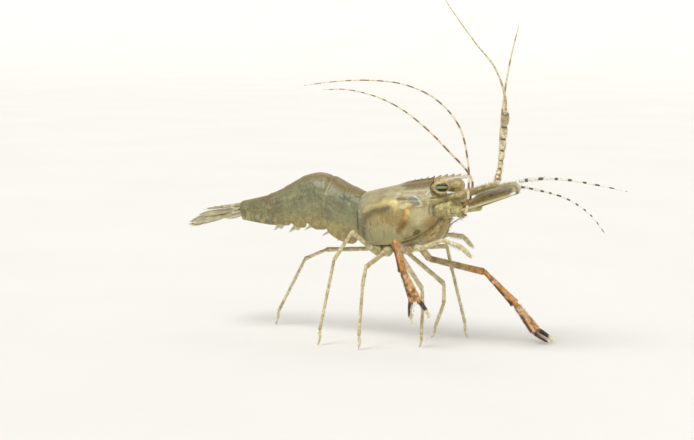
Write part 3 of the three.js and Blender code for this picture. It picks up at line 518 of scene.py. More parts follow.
def closed_below(y, z, count, sag, ends):
    """
    Sections from one lower edge over the back to the other, closed below by a line that hangs
    sag·sin(πt) deep and is count points long, and drawn in to their middle by the factors ends.
    """
    share = np.linspace(0, 1, count)[1:-1]
    floor_y = blend(y[:, -1:], y[:, :1], share)
    floor_z = blend(z[:, -1:], z[:, :1], share) - sag * np.sin(pi * share)
    ring = joined(np.concatenate([y, floor_y], 1), np.concatenate([z, floor_z], 1))
    middle = ring.mean(1, keepdims=True)
    return np.moveaxis(middle + (ring - middle) * ends[:, None, None], -1, 0)


def head_flesh():
    """The soft body under the shield: the shield's section drawn in all round, domed at both ends."""
    x = np.linspace(-1, 12.75, 90)[:, None]
    y, z = shield_skin(np.clip(x, -0.9, 12), np.linspace(-1, 1, 90)[None])
    dome = rounded_ends(x[:, 0] - x[0], 1.2, 0.9)
    y, z = closed_below(y * 0.9, z * 0.96 - 0.32, 26, 0.25, dome)
    return closed_rings(shield_place(x, y, z), joined(x, z, 0))


# ------------------------------------------------------------------ abdomen
def abdomen_at(u):
    """The back line's x and z, the lean, depth and half width at u, counted in joints."""
    back = cubic_through(np.insert(JOINTS[:, :2], 1, 0, axis=1), u)
    size = cubic_through(JOINTS[:, 2:], u)
    return back[..., 0], back[..., 2], np.radians(size[..., 0]), size[..., 1], size[..., 2]


def abdomen_place(u, y, z):
    """A place at u along the abdomen, y to the left and z up the leaning section."""
    x0, z0, lean, _, _ = abdomen_at(u)
    return joined(x0 - z * np.sin(lean), y, z0 + z * np.cos(lean))


def boundary(b, v):
    """Where boundary b crosses the flank; the second segment's flap reaches far forward, low down."""
    low = smooth(v, 0.44, 0.72) if b == 1 else smooth(v, 0.3, 1)
    return SEGMENT_ENDS[b] + SEGMENT_SWEEP[b] * low


def abdomen_plate(index):
    """
    One segment's plate, tucked under the one before and lying over the one behind. The second
    one's flaps lie over both neighbours. The flaps' lower corners are rounded off.
    """
    q, w = np.meshgrid(eased(64), np.linspace(-1, 1, 171), indexing="ij")
    v = np.abs(w)
    flaps = 0 < index < 5
    flap_over = smooth(v, 0.42, 0.56) if index == 1 else 0 * v
    tuck = (0.5, 0.22, 0.22, 0.22, 0.22, 0.14)[index]
    front = boundary(index, v) - tuck * (1 - 0.85 * flap_over)
    rear = boundary(index + 1, v) + (0.05 if index < 5 else 0)
    u = blend(front, rear, q)
    corner = (0.10 if index == 1 else 0.15) if flaps else 0
    lower_edge = 1 - corner * np.abs(2 * q - 0.95) ** 3.2
    reach = 0.9 if index == 0 else lower_edge
    vs = v * reach
    *_, depth, half_width = abdomen_at(u)
    hang = 0.98 if index == 1 else 0.93
    tall = depth * blend(1, hang, smooth(vs, 0.5, 1)) if flaps else depth
    y, z = flank(vs, half_width, tall, PLEURA_UNDER)
    y = np.sign(w) * y
    grid = abdomen_place(u, y, z)
    normal = grid_normals(grid, abdomen_place(u, y, z + depth / 2) - abdomen_place(u, 0, 0))
    to_rear = (1 - q) * PLATE_LENGTH
    to_side = (1 - v) * PLATE_GIRTH
    sunk = -0.3 * (1 - smooth(q, 0, 0.3)) * (1 - flap_over) + 0.06 * flap_over
    if index == 0:
        sunk = sunk - 0.16 * smooth(v, 0.35, 0.6)
    if index == 2:
        sunk = sunk - 0.16 * (1 - smooth(q, 0.1, 0.55)) * smooth(v, 0.4, 0.6)
    relief = sunk + 0.05 * hump(to_rear, 0.3, 0.16) + 0.05 * smooth(q, 0.25, 0.9)
    relief = relief + flaps * 0.05 * hump(to_side, 0.35, 0.16) * smooth(q, 0.1, 0.3)
    relief = relief - 0.05 * hump(q, 0.3 + 0.05 * np.sin(9 * v), 0.05) * smooth(v, 0.1, 0.3)
    relief = relief - flaps * 0.1 * hump(v, 0.66, 0.06) * smooth(q, 0.15, 0.5) * (1 - smooth(q, 0.7, 1))
    edge = np.minimum(to_rear, np.minimum(to_side, q * PLATE_LENGTH + 0.1))
    return thin_wall(grid, normal, relief, PLATE_WALL, edge, 0.14, joined(u, 11 * vs, index))


def abdomen_flesh():
    """The soft body inside the plates: their section drawn in, with a ridge across the belly per segment."""
    u = np.linspace(-0.15, 6.98, 240)[:, None]
    *_, depth, half_width = abdomen_at(u)
    tail = smooth(u, 5.3, 6)
    w = np.linspace(-1, 1, 61)[None]
    y, z = flank(np.abs(w) * blend(0.78, 0.97, tail), half_width - 0.42, depth, PLEURA_UNDER)
    fold = 0.18 * np.cos(2 * pi * (np.interp(u, SEGMENT_ENDS, range(7)) - 0.5)) * (1 - tail)
    ends = rounded_ends(u[:, 0] - u[0, 0], 0.12, 0.1)
    y, z = closed_below(np.sign(w) * y, 0.955 * z - 0.36, 22, 0.25 + fold, ends)
    return closed_rings(abdomen_place(u + 0 * y, y, z), joined(u, z, 7))


# ------------------------------------------------------------------ tail fan, paddles and scales
def leaf_frame(along, inward):
    """A leaf's unit way along, its way inward turned square to that, and the way up from its plane."""
    along = unit(np.asarray(along, float))
    upward = unit(np.cross(along, inward))
    return along, np.cross(upward, along), upward


def leaf_wall(edge, middle, thinning=0.5):
    """How thick a leaf is: edge + middle·oval(b), the latter less by the share thinning at its end."""
    return lambda a, b: edge + middle * oval(b) * (1 - thinning * a)


def leaf(
    root, along, inward, length, far, thickness, near=None, bulge=0, rows=70, columns=28, ridge=0, part=0,
):
    """
    A thin closed leaf. At a of 0..1 along its length it spans from near(a), or -far(a), to far(a)
    millimetres to the inward side; b is 0 at the near edge and 1 at the far one. The wall is
    thickness(a, b) thick and its middle lies bulge·(1 - (2b - 1)²) above the leaf's plane.
    """
    along, inward, upward = leaf_frame(along, inward)
    a, b = np.meshgrid(eased(rows), eased(columns), indexing="ij")
    y = blend(near(a) if near else -far(a), far(a), b)
    arch = bulge * (1 - (2 * b - 1) ** 2) * np.sin(pi * np.clip(a, 0, 1)) ** 0.5
    middle = root + length * a[..., None] * along + y[..., None] * inward + arch[..., None] * upward
    half = (thickness(a, b) / 2)[..., None] * upward
    lift = (ridge * hump(b, 0.5, 0.07) * (1 - a))[..., None] * upward
    return sheet_between(middle + half + lift, middle - half, joined(a * length, b, part))


def fringe(
    root, along, inward, length, edge, span, count, lean, spread, tall, radius, row, shortest=0.85, sunk=0,
):
    """
    Bristles at equal steps along a leaf's edge, over a span of its length. They stand out of the
    edge, lean along the leaf and are tall(a) long; row is their row of the coat's map.
    """
    way, inward, _ = leaf_frame(along, inward)
    a = np.linspace(*span, 400)
    y = edge(a)
    run = np.concatenate([[0], np.cumsum(np.linalg.norm(np.diff(joined(a * length, y), axis=0), axis=1))])
    at = np.interp(np.linspace(0, run[-1], count), run, a)
    slope = np.interp(at, a, np.gradient(y, a * length))
    turned = np.sign(np.mean(y)) * unit(joined(-slope, 1))
    outwards = turned[:, :1] * way + turned[:, 1:] * inward
    points = root + (at * length)[:, None] * way + edge(at)[:, None] * inward
    ways = outwards + lean * along + spread * rng.standard_normal((count, 3))
    lengths = tall(at) * rng.uniform(shortest, 1.1, count)
    return bristles(points - sunk * outwards, ways, lengths, radius, skin=joined(at, row))


def leaf_outline(half_width, root_half_width, blunt=0.82):
    """Half the width of a leaf at a: grows to half_width at about a = 0.55 and rounds off at the end."""
    def half(a):
        grown = blend(root_half_width, half_width, smooth(a, 0, 0.5))
        return grown * np.sqrt(np.clip(1 - (np.clip(a - blunt, 0, 1) / (1 - blunt)) ** 2.2, 0.0009, 1))
    return half


def telson():
    """The tail's middle plate: arched above with a shallow groove, narrowing to a blunt point."""
    at, halves, heights = np.transpose([
        (0, 1, 1.3), (0.12, 1.08, 1.25), (0.5, 0.85, 0.85), (0.85, 0.58, 0.62), (0.97, 0.4, 0.55),
        (1, 0.12, 0.5),
    ])
    t = eased(110)
    half = np.interp(t, at, halves)
    high = np.interp(t, at, heights) * 0.86
    angle = once_round(56)
    start = tail_end() - 0.1 * TAIL_WAY
    centre = start + (t * (TELSON_LENGTH + 0.44))[:, None] * TAIL_WAY
    centre[:, 2] -= 0.12 + high / 2
    lift = np.where(np.sin(angle) > 0, 1, 0.5)
    groove = 0.12 * hump(np.cos(angle), 0, 0.3) * (np.sin(angle) > 0)
    y = (half * rounded_ends(t, 0.02, 0.03))[:, None] * np.cos(angle)
    z = centre[:, 2:] + 0.5 * high[:, None] * (lift * np.sin(angle) - groove)
    body = closed_rings(joined(centre[:, :1], y, z), joined(TELSON_LENGTH * t[:, None], angle / FULL_TURN, 0))
    spine_at = np.array([0.55, 0.55, 0.76, 0.76])
    roots = start + (spine_at * TELSON_LENGTH)[:, None] * TAIL_WAY
    roots[:, 1] = (-1, 1, -1, 1) * np.interp(spine_at, at, halves) * 0.72
    roots[:, 2] -= 0.2
    spines = bristles(roots, TAIL_WAY + (0, 0, 0.22), 0.5, 0.07, steps=3)
    tip = start + (TELSON_LENGTH + 0.36) * TAIL_WAY - (0, 0, 0.35)
    spread = np.linspace(-1, 1, 13)
    ends = tip + joined(0.12 * np.abs(spread), 0.38 * spread, 0)
    brush = bristles(ends, TAIL_WAY + joined(0, 0.45 * spread, 0), 1.1 - 0.3 * np.abs(spread), 0.035)
    return [body, spines, brush]


def tail_end():
    """Where the back line ends, at the last joint."""
    return abdomen_place(np.array(7), 0, 0)


# Each side blade's length, half width, splay in degrees, its root's distance out and down, its roll
# and its dip in degrees.
TAIL_BLADES = {"inner": (7, 1, 9, 1.05, 1.2, 20, 0), "outer": (7.6, 1.2, 23, 1.75, 1.85, 24, 1.5)}


def tail_blade(side, shape):
    """A side blade of the tail fan, with its midrib, and the fringe along its rounded end."""
    length, half_width, splay, offset, drop, roll, dip = shape
    out, slope, roll = radians(splay) * side, TAIL_SLOPE + radians(dip), radians(roll)
    along = np.array([-cos(out) * cos(slope), sin(out), -sin(slope)])
    across = (0, cos(roll), -side * sin(roll))
    root = tail_end() + 0.3 * TAIL_WAY + (0, side * offset, -drop)
    half = leaf_outline(half_width, 0.45)
    lying = root, along, across, length
    body = leaf(*lying, half, leaf_wall(0.03, 0.2), bulge=0.1, ridge=0.1)
    stalk = podomere(root - 0.9 * along + (0, 0, 0.15), root + 0.9 * along, (0.42, 0.5), UP, flat=0.7)
    return [body, stalk], [
        fringe(
            *lying, lambda a: sign * half(a), (0.3, 0.998), 150, 0.9, 0.1,
            lambda a: blend(0.3, 0.95, smooth(a, 0.3, 0.9)), 0.025, 0.5 - 0.25 * sign,
        ) for sign in (1, -1)
    ]


def pleopod(side, pair):
    """A swimming leg: a short flat stalk that carries two leaves side by side, and their fringes."""
    size = (1, 1, 1, 0.88, 0.74)[pair]
    u = (SEGMENT_ENDS[pair] + SEGMENT_ENDS[pair + 1]) / 2
    x0, z0, lean, depth, half_width = (float(value) for value in abdomen_at(np.array(u)))
    drop = BELLY_LEVEL * depth + 0.1
    hang = radians(58) - lean
    root = np.array([x0 + drop * sin(lean), side * (0.25 * half_width + 0.03), z0 - drop * cos(lean)])
    along = unit(np.array([-sin(hang), side * 0.05, -cos(hang)]))
    across = np.array([0, -side, 0])
    stalk_end = root + along * (1.9 * size)
    pieces, fringes = [podomere(root, stalk_end, (0.5, 0.46), LEFT, flat=0.72, steps=24)], []
    half = leaf_outline(0.1 * half_width + 0.03, 0.14, blunt=0.6)
    for place, share, turn in ((-0.55, 1, -0.1), (0.55, 0.86, 0.12)):
        way = unit(along + turn * across)
        start = root + along * (1.75 * size) + across * (place * 0.12 * half_width)
        lying = start, way, across, 2.511 * size * share
        pieces.append(leaf(*lying, half, leaf_wall(0.025, 0.13, 0.6), rows=36, columns=14))
        fringes += [
            fringe(
                *lying, lambda a: sign * half(a), (0.25, 0.995), 44, 1.3, 0.12, lambda a: 0.62 * size, 0.02,
                0.5 + 0.25 * sign, shortest=0.8,
            ) for sign in (1, -1)
        ]
    return pieces, fringes


# ------------------------------------------------------------------ underside and mouth
def breast():
    """The keel between the legs' roots: a rounded wedge with a ridge across under each pair."""
    t = np.linspace(0, 1, 120)
    x = blend(-0.9, 9.4, t)
    top = shield_place(x, 0 * x, -shield_depth(x) + 0.4)
    low = 15.75 + 0.75 * smooth(top[:, 0], 9, 12.4) + 1.5 * smooth(top[:, 0], 12, 15.5)
    low = low + 0.12 * np.cos(2 * pi * (top[:, 0] - 6.6) / 1.95)
    half = blend(1.1, 1.75, np.sin(pi * (7 * t + 1.5) / 10))
    angle = once_round(40)
    ends = rounded_ends(t, 0.05, 0.05)
    middle, tall = (top[:, 2] + low) / 2, (top[:, 2] - low) / 2
    y = (half * ends)[:, None] * np.cos(angle) * (1 - 0.2 * np.clip(-np.sin(angle), 0, 1))
    z = middle[:, None] + (tall * ends)[:, None] * np.sign(np.sin(angle)) * np.abs(np.sin(angle)) ** 0.8
    return closed_rings(joined(top[:, :1], y, z), joined(x[:, None], z, 0))


def mouth():
    """The wedge below the face, and on each side the lobes and palps of the inner jaws."""
    wedge = [(14.6, 0, 18.5), (15.4, 0, 18.7), (16.5, 0, 19.2), (17.4, 0, 20.4), (18.1, 0, 22)]
    path, run = even_path(wedge, 60)
    t = run / run[-1]
    girth = blend(0.8, 1.05, np.sin(pi * np.minimum(1, t * 1.15)) ** 0.7) * rounded_ends(run, 0.8, 0.9)
    pieces = [tube(path, run, girth, 0.85 * girth, 28, UP)]
    for side in SIDES.values():
        lobes = (
            ((13.9, 0.9, 18.9), (0.9, 0.05, 0.45), 2.8, 1),
            ((14.5, 1, 19.9), (0.8, 0.05, 0.6), 2.8, 0.95),
            ((15.1, 0.9, 21), (0.8, 0.05, 0.6), 2.4, 0.8),
        )
        for number, (root, way, length, half_width) in enumerate(lobes):
            half = leaf_outline(half_width, 0.4, blunt=0.6)
            lying = mirrored(root, side), mirrored(way, side), mirrored((-0.2, 0.45, 0.9), side), length
            shape = dict(bulge=0.3, rows=36, columns=18, part=number / 4)
            pieces.append(leaf(*lying, half, leaf_wall(0.05, 0.5), **shape))
        palp = [(15.2, 1.3, 19.2), (16.3, 1.3, 20), (17, 1.1, 21.2), (17.4, 0.9, 22.3)]
        path, run = even_path(mirrored(palp, side), 50)
        girth = rounded_ends(run, 0.3, 0.5)
        pieces.append(tube(path, run, 0.34 * girth, 0.24 * girth, 14, UP))
    return pieces


def face():
    """The flesh between the eyes, the feelers' roots and the mouth: a flattened snout, blunt in front."""
    path, run = even_path([(13.6, 0, 24.2), (16.6, 0, 24.75), (19.2, 0, 25), (21.9, 0, 25.5)], 80)
    t = run / run[-1]
    ends = rounded_ends(run, 1.5, 1.2)
    wide = blend(2.85, 2.05, smooth(t, 0.3, 1)) * ends
    thick = (blend(1.7, 0.62, smooth(t, 0.15, 0.8)) + 0.06 * np.sin(5 * run)) * ends
    snout = tube(path, run, wide, thick, 48, UP)
    chin, run = even_path([(15.4, 0, 22.2), (17, 0, 22.9), (18.7, 0, 23.6), (20.4, 0, 24.3)], 50)
    girth = rounded_ends(run, 1.2, 1)
    return [snout, tube(chin, run, 2.1 * girth, 1.5 * girth, 36, UP)]


# ------------------------------------------------------------------ eyes
GAZE = unit(np.array([0.466, 0.877, 0.115]))  # where the dark middle of the left eye looks


def eye_centre(side):
    """The left eye is held a little lower and further out than the right one."""
    return mirrored(EYE_CENTRE, side) + (np.array((0.1, 0.1, -0.25)) if side > 0 else 0)


def eye_axis(side):
    """The way from the stalk's root to the eye."""
    return unit(eye_centre(side) - mirrored(STALK_ROOT, side))


def eyeball(side):
    """A ball that is cut off where the stalk carries it and rolled over at that rim."""
    axis = eye_axis(side)
    centre = eye_centre(side)
    angle = np.linspace(-0.92, pi / 2, 60)
    height = EYE_RADIUS * np.sin(angle)
    girth = EYE_RADIUS * np.cos(angle) * (1 - 0.02 * hump(angle, -0.55, 0.08))
    path = np.vstack([centre + axis * (height[0] + 0.25), centre + height[:, None] * axis])
    girth = np.concatenate([[0.2], girth])
    run = np.concatenate([[0], (height - height[0]) + 0.01])
    across, rise = around(axis, UP)
    turn = once_round(72)
    ways = np.cos(turn)[:, None] * across + np.sin(turn)[:, None] * rise
    rings = path[:, None] + np.maximum(girth, 1e-3)[:, None, None] * ways
    return closed_rings(rings, joined(run[:, None], turn / FULL_TURN, 0))


def eyestalk(side):
    """The stalk: narrow at its root, swelling to a cup that holds the eyeball."""
    axis = eye_axis(side)
    root = mirrored(STALK_ROOT, side) - 0.5 * axis
    rim = eye_centre(side) + axis * (-0.5 * EYE_RADIUS)
    t = eased(50)
    path = between(root, rim, t)
    length = np.linalg.norm(rim - root)
    girth = blend(0.6, 1, smooth(t, 0.1, 0.95)) - 0.06 * hump(t, 0.45, 0.1)
    girth = girth * rounded_ends(t * length, 0.3, 0.12)
    return tube(path, t * length, girth, girth, 48, UP)


# ------------------------------------------------------------------ head appendages
STEM_RADII = [(1, 0.84), (0.74, 0.7), (0.66, 0.64)]
ANTENNULE_STEM = {
    "right": [(17.75, 1.45, 25.1), (22.6, 1.9, 26.45), (25.6, 2.4, 27.4), (28, 2.85, 28.05)],
    "left": [(17.75, 1.45, 25.1), (22.8, 1.8, 26.45), (26.2, 2.25, 27.2), (29.2, 2.7, 27.75)],
}


def antennule_stem(name):
    """The antennule's three flattened lengths, the spine beside the first, and the coat of bristles."""
    side = SIDES[name]
    joints = mirrored(ANTENNULE_STEM[name], side)
    up = (-0.2, 0, 1)
    pieces = limb(joints, STEM_RADII, up, flat=0.62, sides=28, steps=40)
    t = np.linspace(0, 1, 30)
    root, tip = joints[0] + mirrored((0.5, 0.75, 0), side), joints[1] + mirrored((-0.9, 1.25, 0), side)
    taper = (1 - t) ** 0.7
    pieces.append(tube(between(root, tip, t), 4 * t, 0.24 * taper + 0.01, 0.16 * taper + 0.01, 12, up))
    count = 620
    at = rng.uniform(0.1, 2.98, count)
    k = np.minimum(at.astype(int), 2)
    line = blend(joints[k], joints[k + 1], (at - k)[:, None])
    radius = np.interp(at, (0, 1, 1.01, 2, 2.01, 3), np.ravel(STEM_RADII))
    along = unit(joints[k + 1] - joints[k])
    across, rise = around(along, up)
    turn = rng.uniform(0, 2 * pi, count)
    radial = np.cos(turn)[:, None] * across + 0.62 * np.sin(turn)[:, None] * rise
    roots = line + 0.94 * radius[:, None] * radial
    ways = unit(radial) + 0.9 * along + 0.35 * rng.standard_normal((count, 3))
    lengths = rng.uniform(0.25, 0.75, count)
    return pieces, [bristles(roots, ways, lengths, 0.022, skin=joined(at / 3, turn / FULL_TURN))]


ANTENNA_NECKS = {
    "right": [(19.9, 2.7, 23.75), (21.5, 2.85, 23.2), (21.2, 2.8, 23.2), (22.7, 2.9, 22.95)],
    "left": [(19.9, 2.7, 23.75), (20.8, 2.72, 23.65), (20.6, 2.72, 23.6), (21.35, 2.7, 23.75)],
}


def antenna_stem(name):
    """The antenna's root: a squat block with a spine, and the narrower neck that carries the whip."""
    side = SIDES[name]
    block = [(17.3, 2.1, 23.3), (18.2, 2.28, 23.5), (19.3, 2.55, 23.85), (20.7, 2.78, 24)]
    path, run = even_path(mirrored(block, side), 50)
    girth = (1.08 + 0.08 * hump(run / run[-1], 0.85, 0.12)) * rounded_ends(run, 0.6, 0.45)
    pieces = [tube(path, run, girth, 0.95 * girth, 36, UP)]
    lengths = (
        (*ANTENNA_NECKS[name][:2], (0.86, 0.78), 0.12, 0.3),
        (*ANTENNA_NECKS[name][2:], (0.62, 0.56), 0.14, 0.6),
        ((19.6, 3, 23.55), (22.75, 3.75, 23.75), (0.95, 0.72), 0.1, 0.5),
    )
    for start, end, radii, collar, part in lengths:
        start, end = mirrored(start, side), mirrored(end, side)
        pieces.append(podomere(start, end, radii, UP, collar=collar, part=part))
    t = np.linspace(0, 1, 18)
    thorn = between(mirrored((20.4, 3.75, 23.1), side), mirrored((22.4, 4.3, 23), side), t)
    girth = 0.2 * (1 - t) + 0.012
    pieces.append(tube(thorn, t, girth, girth, 10, UP))
    return pieces


def antennal_scale(name):
    """
    The antennal scale: a blade with a thick outer rib that ends in a tooth, a faint midrib and a
    rounded inner corner; a dense fringe stands along its end and inner margin.
    """
    side = SIDES[name]
    yaw = SCALE_YAW[name]
    length = SCALE_LENGTHS[name]
    level = cos(SCALE_PITCH)
    along = np.array([level * cos(yaw), side * level * sin(yaw), sin(SCALE_PITCH)])
    inward = np.array([0, -side * cos(SCALE_ROLL), sin(SCALE_ROLL)])
    root = mirrored(SCALE_ROOT, side)

    def far(a):
        grown = blend(0.32, 0.93, smooth(a, -0.1, 0.42)) - 0.14 * smooth(a, 0.5, 1)
        return SCALE_WIDTH * grown * np.sqrt(np.clip(1 - (np.clip(a - 0.84, 0, 1) / 0.163) ** 2.4, 0.002, 1))

    def near(a):
        return 0.01 * a + 0.4 * smooth(a, 0.93, 1)

    def thickness(a, b):
        rib = 0.36 * (1 - 0.4 * a) * (1 - smooth(b, 0.06, 0.17))
        return rib + leaf_wall(0.05, 0.1)(a, b)

    lying = root, along, inward, length
    blade = leaf(*lying, far, thickness, near, bulge=0.22, rows=120, columns=56, ridge=0.06)
    t = np.linspace(0, 1, 70)
    rib = root + (length * blend(-0.03, 1, t))[:, None] * unit(along) + 0.1 * inward
    girth = 0.26 * (1 - 0.35 * t) * np.minimum(1, ((1 - t) / 0.1) ** 0.8 + 0.03)
    girth = girth * np.minimum(1, 0.3 + t / 0.05)
    edge_rib = tube(rib, t * length, girth, 0.8 * girth, 18, UP, part=1)
    coat = fringe(
        *lying, far, (0.12, 0.997), 430, 0.9, 0.08, lambda a: blend(0.55, 1.15, smooth(a, 0.1, 0.5)),
        0.022, 0.9, sunk=0.03,
    )
    return [blade, edge_rib], [coat]


# ------------------------------------------------------------------ feelers
def knot_number(run, length, growth):
    """The knots passed after a length run, where n of them take up length·n·(1 + growth·n)."""
    if growth == 0:
        return run / length
    return (np.sqrt(1 + 4 * growth * run / length) - 1) / (2 * growth)


def feeler(points, reference, radii, ring_length, beads=0, bead_length=0.95, growth=0, coat=0, swell=None):
    """
    A whip of many short rings along the smooth curve through points. Its radius runs through radii
    at equal shares of its length; each ring narrows at its joints. Over the first `beads`
    millimetres stand knots, of which the n-th starts at bead_length·n·(1 + growth·n); their radius
    runs through swell where it is given. Coat is how many bristles stand on it.
    """
    _, (_, length) = even_path(points, 2)
    path, run = even_path(points, int(length / ring_length * 7))
    radius = np.interp(run / length, np.linspace(0, 1, len(radii)), radii)
    fine = np.abs(np.sin(pi * run / ring_length)) ** 0.5
    knot = knot_number(run, bead_length, growth)
    bead = np.abs(np.sin(pi * knot)) ** 0.3
    beaded = 1 - smooth(run, beads - 0.08, beads + 0.01) if beads else 0 * run
    waist = blend(0.86 + 0.14 * fine, 0.34 + 0.66 * bead, beaded)
    if swell:
        radius = blend(radius, np.interp(run / beads, (0, 0.25, 1), swell), beaded)
    radius = radius * waist * rounded_ends(run, 0.25, 1.5)
    whip = tube(path, run, radius, radius, 12, reference, beaded[:, None])
    whip.place[:, 1] = np.append(np.repeat(knot, 12), knot[[0, -1]])
    coats = []
    if coat:
        at = rng.uniform(0.02, 1, coat) ** 1.6 * max(beads, 4)
        centre = np.stack([np.interp(at, run, axis) for axis in path.T], 1)
        along = np.stack([np.interp(at, run, axis) for axis in unit(np.gradient(path, axis=0)).T], 1)
        ways = unit(rng.standard_normal((coat, 3)))
        roots = centre + 0.8 * np.interp(at, run, radius)[:, None] * ways
        skin = joined(at / length, rng.random(coat))
        coats.append(bristles(roots, ways + 0.7 * along, rng.uniform(0.25, 0.6, coat), 0.02, skin=skin))
    return [whip], coats


ANTENNULE_FEELERS = {
    "antennule_inner_right": dict(
        points=[
            (28.35, -2.35, 28.5), (28.2, -1.9, 33.1), (28, -0.8, 39), (28.5, 0.7, 46.5), (29.6, 2.1, 53.4),
        ],
        radii=(0.26, 0.2, 0.17, 0.14, 0.07), beads=3, bead_length=0.6, coat=40,
    ),
    "antennule_outer_right": dict(
        points=[
            (28.3, -3.35, 28.55), (28.9, -3.3, 31.2), (29.5, -3.5, 36.4), (30.6, -5.7, 42),
            (28.4, -4.7, 46.4), (24, -2.2, 50.1), (19.4, -2.2, 55.9), (18.1, -2.6, 58.1),
        ],
        radii=(0.3, 0.3, 0.28, 0.22, 0.16, 0.13, 0.11, 0.09, 0.06),
        beads=11.4, bead_length=0.292, growth=0.486, coat=560, swell=(0.52, 0.44, 0.72),
    ),
    "antennule_inner_left": dict(
        points=[
            (29.45, 3.15, 27.3), (32.4, 4.1, 26.75), (36.4, 5.7, 25.5), (39.8, 7.3, 23), (42.3, 8.5, 19.5),
        ],
        radii=(0.22, 0.16, 0.14, 0.11, 0.05), beads=2, bead_length=0.6, coat=40,
    ),
    "antennule_outer_left": dict(
        points=[
            (29.6, 2.4, 28.2), (32.2, 3.7, 28.6), (35.8, 5.9, 28.5), (40.4, 8.6, 27.6), (44.8, 11.1, 26.5),
        ],
        radii=(0.3, 0.23, 0.2, 0.14, 0.06), beads=2, bead_length=0.8, coat=90,
    ),
}
ANTENNA_RADII = (0.24, 0.17, 0.15, 0.13, 0.11, 0.09, 0.06)
ANTENNAE = {
    "right": [
        (22.6, -2.95, 22.95), (23.1, -3.6, 23.15), (23.6, -4.5, 23.75), (24.1, -4.95, 25.2),
        (24.15, -4.8, 27.4), (23.7, -3.9, 30.6), (21.7, -2.9, 36.8), (18, -3.6, 41.1),
        (13.4, -5.6, 43.5), (7.9, -8, 44.2), (2.5, -10.4, 43.9), (-1.5, -12, 43.3),
    ],
    "left": [
        (21.3, 2.7, 23.6), (21.2, 2.65, 24.25), (21, 2.9, 24.95), (20.85, 3.55, 26.1),
        (20.8, 4.15, 27.4), (20, 4.1, 29.1), (16.7, 3.4, 32.6), (13.3, 3.7, 35.5),
        (8.4, 4.6, 38.6), (2.7, 6.2, 40.7), (-4.3, 8.2, 41.8), (-10, 10, 41.6),
    ],
}


# ------------------------------------------------------------------ legs
def leg_coat(joints, radii, counts, length, reference=LEFT):
    """Bristles that lean towards the foot, counts[k] of them along the limb's k-th length."""
    coats = []
    for k, count in enumerate(counts):
        if not count:
            continue
        start, end = joints[k], joints[k + 1]
        along = unit(end - start)
        across, rise = around(along, reference)
        t = rng.uniform(0.05, 0.97, count)
        turn = rng.uniform(0, 2 * pi, count)
        radial = np.cos(turn)[:, None] * across + np.sin(turn)[:, None] * rise
        roots = between(start, end, t) + 0.92 * blend(*radii[k], t)[:, None] * radial
        ways = radial + 0.8 * along + 0.15 * rng.standard_normal((count, 3))
        skin = joined((k + t) / len(counts), turn / FULL_TURN % 1)
        coats.append(bristles(roots, ways, length * rng.uniform(0.6, 1.2, count), 0.016, skin=skin))
    return coats


JAW_FOOT = [(15.2, 1.85, 18.3), (16.9, 1.95, 19.3), (17.6, 1.65, 20.9), (18.2, 1.45, 22)]
JAW_FOOT_WHIP = [(15.9, 2.25, 19), (16.9, 2.5, 19.9), (18.6, 2.6, 21.3), (20.6, 2.6, 22.3)]


def jaw_foot(side):
    """The third jaw foot: three bristly lengths folded up to the mouth, and its thin outer whip."""
    joints = mirrored(JAW_FOOT, side)
    radii = [(0.62, 0.66), (0.56, 0.44), (0.38, 0.2)]
    pieces = limb(joints, radii, LEFT, flat=0.75)
    coats = leg_coat(joints, radii, (30, 110, 130), 0.6)
    t = np.linspace(0, 1, 16)
    claw = between(joints[3], joints[3] + mirrored((0.2, -0.1, 0.5), side), t)
    girth = 0.15 * (1 - t) + 0.01
    pieces.append(tube(claw, t, girth, girth, 8, (1, 0, 0)))
    whip, run = even_path(mirrored(JAW_FOOT_WHIP, side), 60)
    girth = blend(0.14, 0.05, run / run[-1]) * rounded_ends(run, 0.2, 0.4)
    pieces.append(tube(whip, run, girth, girth, 10, UP, 1))
    return pieces, coats + leg_coat(whip[[30, 59]], [(0.1, 0.06)], (60,), 0.6)


# The first legs' joints, given for the left side, from the hip to the tips of the fingers.
FIRST_LEGS = {
    "right": [(14, 2.4, 17.15), (15.3, 2.9, 17.35), (19.1, 3.4, 18.85), (22.5, 3.6, 17.9), (24, 3.4, 16.45)],
    "left": [(14, 2.4, 17.15), (14.8, 2.9, 17.6), (16.9, 3.4, 19), (19.5, 3.6, 18.7), (21.1, 3.6, 17.1)],
}


def finger(root, tip, bulge, radii, reference, hook=0, part=0):
    """One finger of a pincer: tapers along a line that bows out by bulge and hooks in at its tip."""
    t = eased(44)
    path = between(root, tip, t) + np.sin(pi * t**0.9)[:, None] * bulge
    path = path + (smooth(t, 0.8, 1) ** 2)[:, None] * hook
    length = np.linalg.norm(tip - root)
    radius = blend(radii[0], radii[1], t**0.9) * rounded_ends(t * length, 0.5 * radii[0], 1.4 * radii[1])
    return tube(path, t * length, radius, 0.85 * radius, 16, reference, part)


